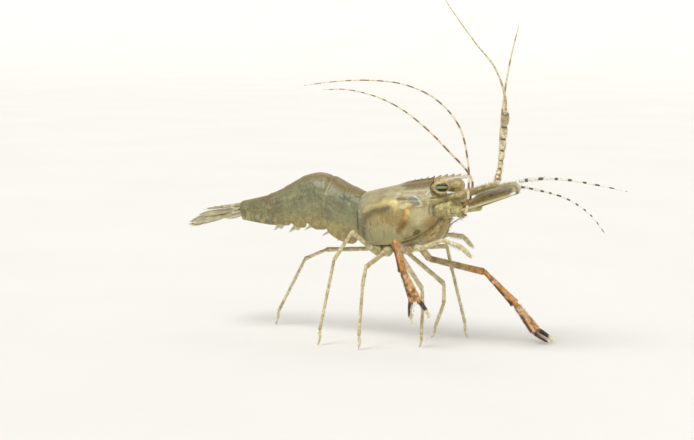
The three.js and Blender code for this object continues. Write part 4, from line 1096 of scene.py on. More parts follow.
def first_leg(name):
    """The first leg: slim lengths that end in a small pincer, with a comb of bristles at the wrist."""
    side = SIDES[name]
    joints = mirrored(FIRST_LEGS[name], side)
    radii = [(0.5, 0.42), (0.4, 0.32), (0.24, 0.36)]
    pieces = [podomere(joints[0] - mirrored((0.3, 1, 0.1), side), joints[0], (0.62, 0.55), UP)]
    pieces += limb(joints[:4], radii, LEFT, flat=0.85)
    palm_way = unit(joints[4] - joints[3])
    spread = unit(np.cross(palm_way, LEFT))
    palm_end = blend(joints[3], joints[4], 0.46)
    palm = joints[3] - 0.3 * palm_way, palm_end + 0.1 * palm_way
    pieces.append(podomere(*palm, (0.3, 0.44), LEFT, flat=0.8, collar=0.05, part=0.4))
    for sign in (1, -1):
        root, tip = palm_end + sign * 0.17 * spread, joints[4] + palm_way * 0.2 + sign * 0.05 * spread
        pieces.append(finger(root, tip, sign * 0.12 * spread, (0.24, 0.04), LEFT, part=0.55))
    coats = leg_coat(joints, radii, (0, 60, 90), 0.42)
    wrist_way = unit(joints[3] - joints[2])
    comb = unit(np.cross(LEFT, wrist_way))
    t = np.linspace(0.06, 0.95, 20)
    ways = comb + 0.35 * wrist_way + 0.05 * rng.standard_normal((20, 3))
    roots = between(joints[2], joints[3], t) + 0.26 * comb
    coats.append(bristles(roots, ways, 0.62, 0.045, skin=joined(t, 0.6)))
    roots = between(palm_end, joints[4], rng.random(90)) + 0.2 * rng.standard_normal((90, 3)) * (1, 0.6, 1)
    ways = palm_way + 0.55 * rng.standard_normal((90, 3))
    coats.append(bristles(roots, ways, 0.4, 0.016, skin=rng.random((90, 2))))
    return pieces, coats


# Each arm's joints, and how far short of the elbow its lengths before and after it stop.
ARMS = {
    "right": dict(
        hip=(12.35, -2.45, 16.65), haunch=(12.9, -4.9, 17.1), elbow=(14.5, -11.5, 19.1),
        wrist=(14.35, -8.15, 14.2), knuckle=(15.4, -5.9, 9.25), tips=((14.35, -5.3, 5.3), (17.8, -5.3, 6.5)),
        before=0.45, after=1.15,
    ),
    "left": dict(
        hip=(12.35, 2.45, 16.65), haunch=(13.1, 4.2, 14.6), elbow=(22.3, 6, 12.75),
        wrist=(27.1, 7.5, 7.6), knuckle=(30.2, 8.5, 3.35), tips=((32.6, 8.6, 1.6), (32.9, 9.7, 1.75)),
        before=0.2, after=0.55,
    ),
}


def pull(start, end, distance):
    """The point at that distance from start on the way to end."""
    return start + unit(end - start) * distance


def arm_upper(name):
    """The arm's upper lengths, from the hip to the sharp bend of the elbow, with spinules on them."""
    arm = ARMS[name]
    side = SIDES[name]
    hip, haunch, elbow = (np.array(arm[key]) for key in ("hip", "haunch", "elbow"))
    joints = [hip, haunch, pull(elbow, haunch, 0.3 * arm["before"] - 0.1)]
    radii = [(0.62, 0.56), (0.54, 0.55)]
    pieces = [podomere(hip - mirrored((0.1, 1.1, 0), side), hip, (0.75, 0.66), UP)]
    pieces += limb(joints, radii, UP if side < 0 else LEFT, collar=0.08, sides=24, steps=44)
    return pieces, leg_coat(joints, radii, (40, 170), 0.28, reference=(0, 0.3, 1))


def arm_wrist(name):
    """The wrist: narrow where it leaves the elbow, widening to the cup that takes the hand."""
    arm = ARMS[name]
    elbow, wrist = np.array(arm["elbow"]), np.array(arm["wrist"])
    start = pull(elbow, wrist, 0.3 * arm["after"] - 0.15)
    length = np.linalg.norm(wrist - start)
    t = eased(60)
    path = between(start, wrist, t)
    radius = blend(0.42, 0.76, t**1.25) + 0.07 * hump(t, 0.95, 0.05) - 0.05 * hump(t, 0.12, 0.06)
    radius = radius * rounded_ends(t * length, 0.25, 0.22)
    along = unit(wrist - start)
    skins = [
        podomere(joint - back * along, joint + 0.5 * along, radii, LEFT, collar=0, sides=24)
        for joint, back, radii in ((elbow, 0.36, (0.42, 0.42)), (wrist, 0.5, (0.5, 0.46)))
    ]
    cup = tube(path, t * length, radius, radius, 30, LEFT)
    return [cup, *skins], leg_coat([start, wrist], [(0.34, 0.7)], (120,), 0.26)


def hand_frame(name):
    """The hand's wrist, knuckle and tips, and its unit ways along the palm and across its fingers."""
    wrist, knuckle, tips = (np.array(ARMS[name][key]) for key in ("wrist", "knuckle", "tips"))
    axis = unit(knuckle - wrist)
    spread = tips[1] - tips[0]
    return wrist, knuckle, tips, axis, unit(spread - np.dot(spread, axis) * axis)


def finger_teeth(root, tip, bulge, inwards, count, size):
    """A row of low teeth along the cutting edge of a finger."""
    t = np.linspace(0.15, 0.8, count)
    roots = between(root, tip, t) + np.sin(pi * t**0.9)[:, None] * bulge
    roots = roots + 0.28 * (1 - 0.5 * t)[:, None] * inwards
    teeth = bristles(roots, inwards, size * (1 - 0.4 * t), 0.09, steps=3)
    teeth.place[:, 0] = 4 * np.repeat(t, 10)
    return teeth


def arm_hand(name):
    """The palm, oval in section and widest at the knuckle, with the fixed finger."""
    wrist, knuckle, (fixed, _), axis, spread = hand_frame(name)
    length = np.linalg.norm(knuckle - wrist)
    t = eased(70)
    path = between(wrist - 0.05 * axis, knuckle + 0.3 * axis, t)
    stations = (0, 0.12, 0.3, 0.6, 0.92, 1)
    wide = np.interp(t, stations, (0.46, 0.62, 0.68, 0.84, 1.06, 1))
    thick = np.interp(t, stations, (0.44, 0.58, 0.64, 0.74, 0.76, 0.66))
    ends = rounded_ends(t * length, 0.4, 0.5)
    palm = tube(path, t * length, thick * ends, wide * ends, 36, spread)
    root = knuckle - 0.5 * spread - 0.3 * axis
    bulge = -0.2 * spread
    piece = finger(root, fixed, bulge, (0.54, 0.26), spread, hook=0.3 * spread, part=1)
    teeth = finger_teeth(root, fixed, bulge, spread, 9, 0.16)
    coats = leg_coat([wrist, knuckle], [(0.7, 0.9)], (230,), 0.3)
    coats += leg_coat([knuckle - 0.5 * spread, fixed], [(0.42, 0.12)], (110,), 0.42)
    return [palm, piece, teeth], coats


def arm_finger(name):
    """The moving finger of the hand."""
    _, knuckle, (_, free), axis, spread = hand_frame(name)
    root = knuckle + 0.52 * spread + 0.1 * axis
    bulge = 0.18 * spread
    piece = finger(root, free, bulge, (0.48, 0.25), spread, hook=-0.3 * spread, part=2)
    teeth = finger_teeth(root, free, bulge, -spread, 8, 0.15)
    coats = leg_coat([root, free], [(0.4, 0.12)], (110,), 0.42)
    return [piece, teeth], coats


# Each walking leg's joints from the hip to the tip of its claw.
WALKING_LEGS = {
    "leg_3_right": [
        (10.5, -2.45, 16.3), (11.5, -2.8, 15.6), (15.3, -3.1, 10.7), (15.5, -3.2, 7.6), (15.25, -3.3, 3.1),
        (15, -3.4, GROUND),
    ],
    "leg_4_right": [
        (8.5, -2.45, 16.2), (8.6, -3.9, 16), (8.2, -9, 14.5), (7.85, -9.5, 11.45), (7.45, -10, 3.3),
        (7.4, -10.1, GROUND),
    ],
    "leg_5_right": [
        (6.6, -2.45, 16.2), (6.2, -3.9, 17), (4.9, -7.5, 19.8), (2.15, -8.5, 15.2), (-0.1, -9.3, 3.5),
        (-0.3, -9.5, GROUND),
    ],
    "leg_3_left": [
        (10.5, 2.45, 16.3), (11.5, 3.6, 16.4), (15, 6.9, 16.5), (15.8, 7.3, 12.5), (18, 7.8, 3.5),
        (18.4, 7.9, GROUND),
    ],
    "leg_4_left": [
        (8.5, 2.45, 16.2), (9.6, 2.9, 15.6), (15.4, 5, 10.5), (15.3, 5.2, 7.2), (13.6, 5.5, 3.2),
        (13, 5.5, GROUND),
    ],
    "leg_5_left": [
        (6.6, 2.45, 16.2), (4.4, 2.8, 15.9), (-5.9, 3.8, 15), (-10.3, 4.2, 13.1), (-15.9, 4.7, 3.5),
        (-16.5, 4.9, GROUND),
    ],
}
WALKING_RADII = [(0.62, 0.46), (0.38, 0.37), (0.28, 0.31), (0.26, 0.23)]


def walking_leg(name):
    """A walking leg: five lengths, the fifth long and slim with spinules below, and a curved claw."""
    joints = np.array(WALKING_LEGS[name])
    reference = unit(np.array((0.25, 1, 0)))
    hip = joints[0] - mirrored((0, 1.2, -0.1), SIDES[name.split("_")[2]])
    hip_end = joints[0] + 0.2 * unit(joints[1] - joints[0])
    pieces = [podomere(hip, hip_end, (1, 0.82), UP, collar=0.16)]
    pieces += limb(joints[:5], WALKING_RADII, reference, collar=0.14)
    knee, heel, foot = joints[3:]
    length = np.linalg.norm(foot - heel)
    t = eased(36)
    forward = np.array((copysign(1, foot[0] - heel[0]), 0, 0))
    path = between(heel, foot, t) - 0.22 * np.sin(pi * t)[:, None] * forward
    radius = (0.25 * (1 - t) ** 0.7 + 0.03) * rounded_ends(t * length, 0.2, 0.05)
    path[:, 2] = np.maximum(path[:, 2], GROUND + radius)
    pieces.append(tube(path, t * length, radius, radius, 14, reference, 0.9))
    coats = leg_coat(joints, WALKING_RADII, (0, 50, 40, 90), 0.3)
    coats += leg_coat([heel, foot], [(0.22, 0.06)], (40,), 0.28)
    at = np.linspace(0.12, 0.95, 15)
    shank = unit(heel - knee)
    under = unit(np.cross(shank, LEFT))
    roots = between(knee, heel, at) + 0.24 * under
    coats.append(bristles(roots, under + 0.9 * shank, 0.32, 0.035, skin=joined(at, 0.3)))
    return pieces, coats


# ------------------------------------------------------------------ paint
def tint(code):
    """A colour such as "a9a17a", written as it looks on screen, as the shader's own red, green, blue."""
    shown = np.array([int(code[k:k + 2], 16) for k in (0, 2, 4)]) / 255
    light = np.where(shown <= 0.04045, shown / 12.92, ((shown + 0.055) / 1.055) ** 2.4)
    return (*light, 1)


class Value:
    """
    A number, colour or vector in one paint. Sums, products and quotients add Math nodes, or
    Vector Math nodes where the left side is a vector or a colour.
    """

    def __init__(self, paint, socket):
        self.paint = paint
        self.socket = socket

    def math(self, operation, other=None, turned=False, output=0):
        """A Math node of this value and another, the other first where turned."""
        kind = "Math" if self.socket.type == "VALUE" else "VectorMath"
        pair = (other, self) if turned else (self, other)
        return self.paint.add(kind, dict(enumerate(pair)), output, operation=operation)

    __add__ = functools.partialmethod(math, "ADD")
    __sub__ = functools.partialmethod(math, "SUBTRACT")
    __rsub__ = functools.partialmethod(math, "SUBTRACT", turned=True)
    __mul__ = functools.partialmethod(math, "MULTIPLY")
    __truediv__ = functools.partialmethod(math, "DIVIDE")

    def over(self, other):
        """The larger of two numbers."""
        return self.math("MAXIMUM", other)

    def dot(self, way):
        """How far a vector reaches along a way."""
        return self.math("DOT_PRODUCT", tuple(way), output="Value")

    def step(self, low, high):
        """0 at low and 1 at high, smooth between them; low may be the larger."""
        inputs = {"Value": self, "From Min": low, "From Max": high}
        return self.paint.add("MapRange", inputs, interpolation_type="SMOOTHSTEP")

    def lay(self, colour, mask):
        """Lays another colour over this one where the mask is 1."""
        self.socket = self.paint.mix(self, colour, mask).socket

    def parts(self):
        """A vector's three numbers."""
        split = self.paint.add("SeparateXYZ", {0: self}).socket.node
        return [Value(self.paint, socket) for socket in split.outputs]

    def moved(self, kind, centre, turn, size):
        """This place in an ellipse's or a line's own frame: moved, turned by radians and sized."""
        inputs = {"Vector": self, "Location": (*centre, 0), "Rotation": (0, 0, turn), "Scale": size}
        return self.paint.add("Mapping", inputs, vector_type=kind)

    def warped(self, scale, amount):
        """A place pushed about by noise, so that a pattern laid out in it has natural edges."""
        push = self.paint.noise(scale, output="Color") - (0.5, 0.5, 0.5)
        return self + push * (amount, amount, 0)

    def blob(self, centre, radii, turn=0, soft=0.6):
        """1 inside an ellipse, falling to 0 over the share soft of its radii round its edge."""
        flat = self.moved("TEXTURE", centre, radians(turn), (*radii, 1)) * (1, 1, 0)
        return flat.math("LENGTH", output="Value").step(1 + soft / 2, 1 - soft / 2)

    def stroke(self, start, end, width, soft=0.8):
        """1 along a straight line between two places, with round ends and soft edges."""
        start, end = np.array(start, float), np.array(end, float)
        half = np.linalg.norm(end - start) / 2
        turn = atan2(end[1] - start[1], end[0] - start[0])
        flat = self.moved("TEXTURE", (start + end) / 2, turn, (1, 1, 1)) * (1, 1, 0)
        held = flat.math("MINIMUM", (half, 0, 0)).math("MAXIMUM", (-half, 0, 0))
        away = flat.math("DISTANCE", held, output="Value")
        return away.step(width / 2 * (1 + soft), width / 2 * (1 - soft))

    def trail(self, points, width, soft=0.8):
        """Strokes end to end through places."""
        strokes = (self.stroke(*ends, width, soft) for ends in zip(points, points[1:]))
        return functools.reduce(Value.over, strokes)

    def wisps(self, along, across, turn, seed):
        """Long soft streaks, drawn out along a direction of the laid-out skin."""
        size = (1 / along, 1 / across, 0)
        return self.paint.noise(1, 4, 0.62, self.moved("POINT", (seed, 2 * seed), radians(turn), size))


class Paint:
    def __init__(self, name):
        self.material = bpy.data.materials.new(name)
        self.material.use_nodes = True
        self.tree = self.material.node_tree
        self.tree.nodes.clear()

    @staticmethod
    def find(sockets, key):
        """The socket of that number, identifier or name."""
        if isinstance(key, int):
            return sockets[key]
        named = [s for s in sockets if s.identifier == key]
        return (named or [s for s in sockets if s.name == key and s.enabled])[0]

    def add(self, kind, inputs=None, output=0, **settings):
        """A node of that kind: its settings first, then links, values or colour codes for its inputs."""
        node = self.tree.nodes.new("ShaderNode" + kind)
        for key, value in settings.items():
            setattr(node, key, value)
        for key, value in (inputs or {}).items():
            if isinstance(value, Value):
                self.tree.links.new(value.socket, self.find(node.inputs, key))
            elif value is not None:
                self.find(node.inputs, key).default_value = tint(value) if isinstance(value, str) else value
        return Value(self, self.find(node.outputs, output))

    def mix(self, first, second, factor):
        """first where factor is 0, second where it is 1, for colours."""
        inputs = {"Factor_Float": factor, "A_Color": first, "B_Color": second}
        return self.add("Mix", inputs, "Result_Color", data_type="RGBA")

    def place(self):
        """The pattern's own coordinates, laid out on the piece when it was made."""
        return self.add("Attribute", output="Vector", attribute_name="place")

    def here(self, squash=1):
        """The place on the object in millimetres, with its height times squash."""
        return self.add("TexCoord", output="Object") * (1 / MM, 1 / MM, squash / MM)

    def noise(self, scale, detail=2, roughness=0.5, where=None, output="Factor"):
        """Noise over the object, scale times per millimetre, or over the vector where."""
        inputs = {"Vector": where or self.here(), "Scale": scale, "Detail": detail, "Roughness": roughness}
        return self.add("TexNoise", inputs, int(output == "Color"))

    def cells(self, size, where=None, feature="F1", output="Distance"):
        """Cells about size millimetres wide: how far a place is from its cell's centre or edge."""
        inputs = {"Vector": where or self.here(), "Scale": 1 / size}
        return self.add("TexVoronoi", inputs, output, feature=feature)

    def bump(self, height, depth, before=None):
        """A normal that follows a height of 0 to 1 over depth millimetres."""
        return self.add("Bump", {"Height": height, "Strength": 1, "Distance": depth * MM, "Normal": before})

    def finish(self, colour, roughness, normal=None, scatter=0, coat=0, alpha=1, specular=0.5, uneven=0):
        """The shader: scatter is how much light goes through the skin, uneven how much its gloss varies."""
        if uneven:
            roughness = self.noise(2) * uneven + roughness
        shader = self.add("BsdfPrincipled", {
            "Base Color": colour, "Roughness": roughness, "Normal": normal, "Alpha": alpha,
            "Subsurface Weight": scatter, "Subsurface Radius": (1, 0.8, 0.55), "Subsurface Scale": 0.8 * MM,
            "Coat Weight": coat, "Coat Roughness": 0.12, "Specular IOR Level": specular,
        })
        out = self.tree.nodes.new("ShaderNodeOutputMaterial")
        self.tree.links.new(shader.socket, out.inputs[0])
        return self.material


def speckles(paint, size, share):
    """Small round pigment spots: 1 inside a spot, in about the given share of the cells."""
    centre = paint.cells(size)
    chosen = paint.add("SeparateColor", {0: paint.cells(size, output="Color")})
    return centre.step(0.32, 0.2) * chosen.step(share + 0.02, share - 0.02)


HEAD_TONE = (0.9, 0.87, 0.7)  # how far the flesh below warms and darkens the head's shell
# The abdomen's tone warms its shell too and darkens it much further: painted shade.
ABDOMEN_TONE_AND_SHADE = (0.68, 0.66, 0.47)


def shell_finish(paint, colour, tone):
    """The shell's own grain: fine mottling, pigment spots, a wet gloss and a slightly uneven surface."""
    mottle = paint.noise(2.6, 4, 0.7)
    colour.lay("d9d2b4", mottle.step(0.54, 0.74) * 0.45)
    colour.lay("6b6347", mottle.step(0.46, 0.28) * 0.4)
    colour.lay("4f3a24", speckles(paint, 0.3, 0.22) * 0.25)
    colour.lay("5c3520", speckles(paint, 0.62, 0.1) * 0.2)
    # the tone warms and darkens the colour; for the abdomen the darkening is painted shade
    colour = colour * tone
    rough = paint.noise(1.5) * 0.25 + 0.32
    normal = paint.bump(paint.noise(5, 3, 0.6), 0.04)
    normal = paint.bump(paint.noise(0.8, 3, 0.5), 0.22, normal)
    return paint.finish(colour, rough, normal, scatter=0.35, coat=0.2)


def shell_of_the_head():
    """See-through shell over the gills, stomach and liver, which show as soft patches of colour."""
    paint = Paint("shell_of_the_head")
    laid = paint.place()
    place = laid.warped(0.55, 1.1)
    fine = laid.warped(1.6, 0.5)
    along, girth, _ = laid.parts()
    cloud = paint.noise(0.5, 4, 0.6)
    colour = paint.mix("9d9576", "b8ae8e", cloud.step(0.35, 0.65))
    colour.lay("b0a480", girth.step(3, 0.4) * 0.7)
    colour.lay("8b9084", along.step(3.2, -0.6) * girth.step(1.5, 4) * 0.55)
    streak = place.wisps(2.6, 0.75, -24, 3)
    colour.lay("cfc6a6", streak.step(0.5, 0.68) * 0.5)
    colour.lay("7d7353", streak.step(0.47, 0.3) * 0.45)
    # the brown crest, and the shaded band behind the eye with paler stripes below it
    colour.lay("6f5c36", girth.step(1.5, 0.8) * along.step(5.8, 7.6) * cloud.step(0.7, 0.45) * 0.9)
    colour.lay("66552a", place.trail([(7.2, 1.7), (9.4, 2), (11.6, 2.2)], 1.1) * 0.85)
    colour.lay("7d684a", place.blob((11, 2.9), (3.4, 0.95), 6) * 0.9)
    colour.lay("d0c3a2", fine.trail([(7.2, 3.6), (9.5, 4.2), (11.8, 4.6)], 0.4) * 0.7)
    colour.lay("a28c76", place.trail([(7.4, 4.4), (9.4, 4.9), (11.6, 5.2)], 0.55) * 0.6)
    # the gill chamber: tan in the middle, greyer low down, with a dark line round its rear
    colour.lay("ae9a69", place.blob((4.2, 7.6), (4.2, 2.7), 8) * 0.75)
    colour.lay("9c8550", place.blob((4.8, 8), (1.7, 1.1), 10) * 0.6)
    colour.lay("b1ad8c", place.blob((2.8, 10.2), (3.2, 1.5)) * 0.75)
    gills = place.wisps(0.5, 2.2, 12, 11)
    chamber = place.blob((3.8, 8.6), (4, 3), 0, 1)
    colour.lay("c9bd93", gills.step(0.52, 0.66) * chamber * 0.55)
    colour.lay("7c7350", gills.step(0.46, 0.32) * chamber * 0.45)
    line = place.trail([(4.6, 6.3), (2.2, 6.5), (0.4, 7.2), (-0.7, 8.4), (-0.9, 10)], 1.25, 1)
    colour.lay("675d38", line * 0.85)
    above = place.trail([(4.6, 5.2), (2.2, 5.3), (0.2, 6.1)], 0.7, 1)
    colour.lay("cabd94", above * 0.6)
    colour.lay("645a35", place.trail([(1.2, 8.2), (0.6, 9.4), (0.7, 10.6)], 0.3, 1) * 0.5)
    # the liver's golden front and the stomach's brown wedge under its pale arch
    gold = place.trail([(4.2, 4.9), (5.6, 5.2), (6.4, 6.4)], 1.2, 0.9)
    colour.lay("dbc98f", gold * 0.8)
    colour.lay("ead9a4", fine.blob((5.9, 5.6), (0.8, 0.6), 20, 1) * 0.8)
    colour.lay("cbbd96", place.trail([(6.3, 3.9), (8, 4.5), (9.6, 5.2), (10.6, 6.1)], 0.5) * 0.6)
    colour.lay("75603f", place.trail([(6.6, 5), (7.7, 5.5)], 0.85, 0.9) * 0.8)
    # the blue-grey patch, the white fork in front of it and the shade below the fork
    colour.lay("7f8378", place.blob((9.35, 6.1), (1.15, 0.95), 0, 0.6) * 0.9)
    colour.lay("5b5640", fine.trail([(8.5, 6.9), (9.3, 7.15), (10.1, 6.9)], 0.22) * 0.6)
    colour.lay("5f5439", place.blob((11.5, 7.25), (1.2, 0.55), 8) * 0.8)
    fork = fine.trail([(9.4, 5.3), (10.2, 6.2), (10.5, 7.4), (10, 8.1)], 0.36)
    fork = fork.over(fine.trail([(10.3, 6.4), (11.3, 6.5), (12.3, 6.1)], 0.62))
    colour.lay("d4d3c9", fork * 0.9)
    colour.lay("d9c8b4", fine.trail([(11.4, 5.6), (12.3, 4.7)], 0.4) * 0.8)
    colour.lay("e9dec0", fine.blob((8, 6.75), (1, 0.5), 10, 0.8) * 0.9)
    colour.lay("d7c5ae", fine.blob((7.2, 6.5), (0.6, 0.4), 0, 1) * 0.6)
    # the rusty streak that runs down and back from below the white patch
    colour.lay("a3843f", place.trail([(8.5, 7.6), (7.9, 8.1), (7.2, 8.6)], 1.25) * 0.85)
    colour.lay("86622f", place.trail([(7.5, 8.5), (6.6, 9.1), (5.8, 9.7)], 0.85, 1) * 0.9)
    colour.lay("6f4d27", fine.trail([(8.1, 8.4), (7.3, 8.9), (6.6, 9.5)], 0.28) * 0.7)
    amber = fine.trail([(8.4, 7.3), (8, 8), (7.5, 8.5)], 0.7, 1)
    colour.lay("dcae5a", amber * 0.8)
    colour.lay("f0d48a", fine.blob((8.1, 7.8), (0.5, 0.3), 60, 0.8) * 0.85)
    # the pale cheek with olive strokes, and the dark corner at its lower edge
    colour.lay("cfc6a4", place.blob((9.9, 9.1), (1.9, 1.4), 15, 1) * 0.8)
    colour.lay("e0dabf", fine.blob((9.6, 9.5), (0.7, 0.5), 30, 1) * 0.6)
    strokes = fine.trail([(11.6, 8.3), (11.4, 9.3)], 0.3, 1)
    strokes = strokes.over(fine.trail([(12.2, 8.5), (11.9, 9.9)], 0.34, 1))
    strokes = strokes.over(fine.trail([(12.9, 8.9), (12.5, 10.2)], 0.34, 1))
    colour.lay("665a31", strokes * 0.6)
    dark = fine.blob((8.5, 11), (0.6, 0.4)).over(fine.trail([(8.4, 11.2), (6.2, 11.35)], 0.22))
    colour.lay("5d4a22", dark * 0.85)
    colour.lay("a88c52", place.blob((11.2, 10.6), (1.6, 0.7), 20, 1) * 0.7)
    colour.lay("7c4a30", fine.blob((12.35, 7.7), (0.4, 0.35)) * 0.8)
    return shell_finish(paint, colour, HEAD_TONE)


def shell_of_the_abdomen():
    """Greyer, see-through plates over banded muscle, tan along the back and pale along the flaps."""
    paint = Paint("shell_of_the_abdomen")
    laid = paint.place()
    place = laid.warped(0.5, 1)
    along, girth, _ = laid.parts()
    cloud = paint.noise(0.42, 4, 0.6)
    colour = paint.mix("868874", "a2a288", cloud.step(0.35, 0.65))
    colour.lay("9a8458", girth.step(4.6, 1.8) * 0.9)
    colour.lay("7e7352", along.step(4.6, 6.2) * 0.5)
    scaled = place * (2.4, 1, 0)
    streak = scaled.wisps(2.4, 0.8, 28, 5)
    colour.lay("c6c0a2", streak.step(0.52, 0.68) * 0.5)
    colour.lay("6e6a52", streak.step(0.46, 0.3) * 0.5)
    # muscle bands across each segment, only just seen
    muscle = scaled.wisps(0.55, 4, 10, 21)
    flank_only = girth.step(2.4, 4.4)
    colour.lay("b3b3a0", muscle.step(0.52, 0.64) * flank_only * 0.45)
    colour.lay("73766a", muscle.step(0.47, 0.34) * flank_only * 0.45)
    flap = girth.step(8, 10)
    colour.lay("ab9c6e", flap * 0.75 * along.step(6.2, 5))
    colour.lay("c9bb8e", paint.noise(1.2, 3).step(0.48, 0.6) * flap * 0.7)
    # an olive spot high on the second segment's front, with a slanting line
    spot = place.blob((0.95, 4.6), (0.16, 0.5), 20).over(place.stroke((0.2, 3.2), (1.2, 5), 0.28))
    colour.lay("5f6040", spot * 0.7)
    # the rusty mark where the fifth segment meets the sixth, and the cream mottling below it
    rust = place.trail([(5.9, 1.2), (6, 2.8), (6.16, 4.6)], 0.3, 1)
    colour.lay("94703f", rust * 0.6)
    cream = along.step(5.6, 6.1) * girth.step(5.5, 8)
    colour.lay("c4b892", paint.noise(1.4, 3).step(0.52, 0.62) * cream * 0.8)
    # the plates are darkened all over by their tone, a painted shade
    return shell_finish(paint, colour, ABDOMEN_TONE_AND_SHADE)


def beak_skin():
    """The beak: dark brown over the shield, then tan, thin and nearly clear below its toothed ridge."""
    paint = Paint("beak")
    along, level, _ = paint.place().parts()
    cloud = paint.noise(1.4, 4, 0.65)
    colour = paint.mix("ab9463", "ccba88", cloud.step(0.42, 0.62))
    colour.lay("69552f", along.step(13.6, 11.2) * cloud.step(0.7, 0.4))
    colour.lay("6a5430", level.step(0.05, 0.4) * 0.6)
    colour.lay("4f3a24", speckles(paint, 0.3, 0.25) * 0.5)
    clear = along.step(12.2, 13.8) * level.step(0.1, -0.3)
    normal = paint.bump(paint.noise(5, 3, 0.6), 0.03)
    return paint.finish(colour, 0.35, normal, scatter=0.2, coat=0.2, alpha=1 - clear * 0.7)


def speckled_skin(name, ground, pale, dark, size=0.5, strokes=0):
    """Finely mottled pale skin: yellow grains, olive pits between them, and a few brown dots."""
    paint = Paint(name)
    pushed = paint.here() + paint.noise(1.3, 3, output="Color") * (1.6, 1.6, 1.6)
    net = paint.cells(size, pushed, "DISTANCE_TO_EDGE")
    cloud = paint.noise(0.9, 3, 0.6)
    fine = paint.noise(3.2, 4, 0.7)
    colour = paint.mix(ground, pale, cloud.step(0.4, 0.62))
    colour.lay("ddcf90", fine.step(0.52, 0.66) * 0.6)
    colour.lay(dark, fine.step(0.47, 0.33) * 0.75)
    colour.lay("e6dca8", net.step(0.34, 0.5) * cloud.step(0.42, 0.56) * 0.6)
    colour.lay(dark, net.step(0.12, 0.02) * paint.noise(0.8, 2).step(0.44, 0.58) * 0.5)
    if strokes:
        run, _, _ = paint.place().parts()
        wave = (run * 1.1 + cloud * 0.9).math("FRACT")
        stroke = wave.step(0.16, 0.05).over(wave.step(0.84, 0.95)) * run.step(2.6, 1.8)
        colour.lay("5e5428", stroke * strokes)
    colour.lay("4a3a1e", speckles(paint, 0.26, 0.35) * 0.7)
    return paint.finish(colour, 0.28, paint.bump(fine, 0.05), scatter=0.2, coat=0.2, uneven=0.2)


def mottled(name, ground, pale, dark, spots, scale, share, scatter=0.2, spot_size=0.2):
    """A skin of one ground colour, clouded with a paler and a darker one and dotted with pigment."""
    paint = Paint(name)
    cloud = paint.noise(scale, 3, 0.6)
    colour = paint.mix(ground, pale, cloud.step(0.5, 0.68))
    colour.lay(dark, cloud.step(0.46, 0.3) * 0.8)
    colour.lay(spots, speckles(paint, spot_size, share) * 0.7)
    normal = paint.bump(paint.noise(6, 3, 0.6), 0.02)
    return paint.finish(colour, 0.22, normal, scatter=scatter, coat=0.25, uneven=0.2)


def banded_leg(name, ground, pale, dark, band):
    """A leg's skin with faint darker bands across it, lighter clouds and small spots."""
    paint = Paint(name)
    wave = paint.noise(0.55, where=paint.place() + (3, 0, 7))
    cloud = paint.noise(1.8, 3, 0.6)
    colour = paint.mix(ground, pale, cloud.step(0.48, 0.66))
    colour.lay(dark, wave.step(0.5, 0.62) * 0.6)
    colour.lay(band, cloud.step(0.44, 0.3) * 0.7)
    colour.lay("5a4526", speckles(paint, 0.18, 0.3) * 0.6)
    normal = paint.bump(paint.noise(7, 3, 0.6), 0.015)
    return paint.finish(colour, 0.24, normal, scatter=0.25, coat=0.25, uneven=0.2)


def shaded_rear_side(paint):
    """1 where the skin faces the tail and 0 elsewhere: where painted shade is laid on the arms."""
    return paint.add("TexCoord", output="Normal").dot((-0.88, -0.46, 0.1)).step(0.1, 0.5)


def haunch_skin():
    """The arm's upper lengths: beige at the hip, rusty orange towards the elbow."""
    paint = Paint("arm_root")
    run, _, _ = paint.place().parts()
    cloud = paint.noise(1.3, 4, 0.65)
    colour = paint.mix("b39b69", "d2bd8f", cloud.step(0.42, 0.62))
    rust = paint.mix("b07a3c", "cf9d58", cloud.step(0.4, 0.6))
    colour.lay(rust, run.step(8.3, 10.6))
    bands = paint.noise(0.45, 2, 0.4, where=paint.place() * (1, 0, 0))
    colour.lay("7a5c30", bands.step(0.5, 0.6) * run.step(2.5, 4) * 0.6)
    colour.lay("6b4a26", paint.noise(1, 3, 0.6).step(0.44, 0.34) * 0.8)
    # painted shade on the side that faces the tail
    colour.lay("5a4023", shaded_rear_side(paint) * 0.5)
    colour.lay("4a3018", speckles(paint, 0.24, 0.35) * 0.6)
    normal = paint.bump(paint.noise(7, 3), 0.02)
    return paint.finish(colour, 0.28, normal, scatter=0.12, coat=0.25, uneven=0.2)


def orange_skin(paint):
    """The arms' orange: pinkish cream scales in its middle, rust patches and a painted shade along the side
    that faces the tail.
    """
    cloud = paint.noise(1.3, 4, 0.65)
    colour = paint.mix("bf7f31", "e0a24e", cloud.step(0.42, 0.6))
    scales = paint.cells(0.36, paint.here(squash=0.55))
    pink = paint.noise(0.6, 3, 0.6).step(0.44, 0.56)
    colour.lay("d8b088", pink * 0.45)
    colour.lay("eed9b4", scales.step(0.42, 0.16) * pink * 0.9)
    colour.lay("7c4a20", paint.noise(1, 3, 0.6).step(0.45, 0.36) * 0.75)
    # painted shade: dark brown on the side that faces the tail, broken up by noise
    edge = shaded_rear_side(paint) * paint.noise(0.9, 3).step(0.34, 0.48)
    colour.lay("3f2614", edge * 0.95)
    colour.lay("4a2f18", speckles(paint, 0.24, 0.25) * 0.5)
    return colour, scales


def arm_skin():
    """The wrist: orange, brightest at the elbow."""
    paint = Paint("arm_skin")
    run, _, _ = paint.place().parts()
    colour, scales = orange_skin(paint)
    colour.lay("c9853f", run.step(1, 0.3) * 0.4)
    normal = paint.bump(paint.noise(7, 3), 0.02, paint.bump(scales, 0.05))
    return paint.finish(colour, 0.28, normal, scatter=0.1, coat=0.25, uneven=0.2)


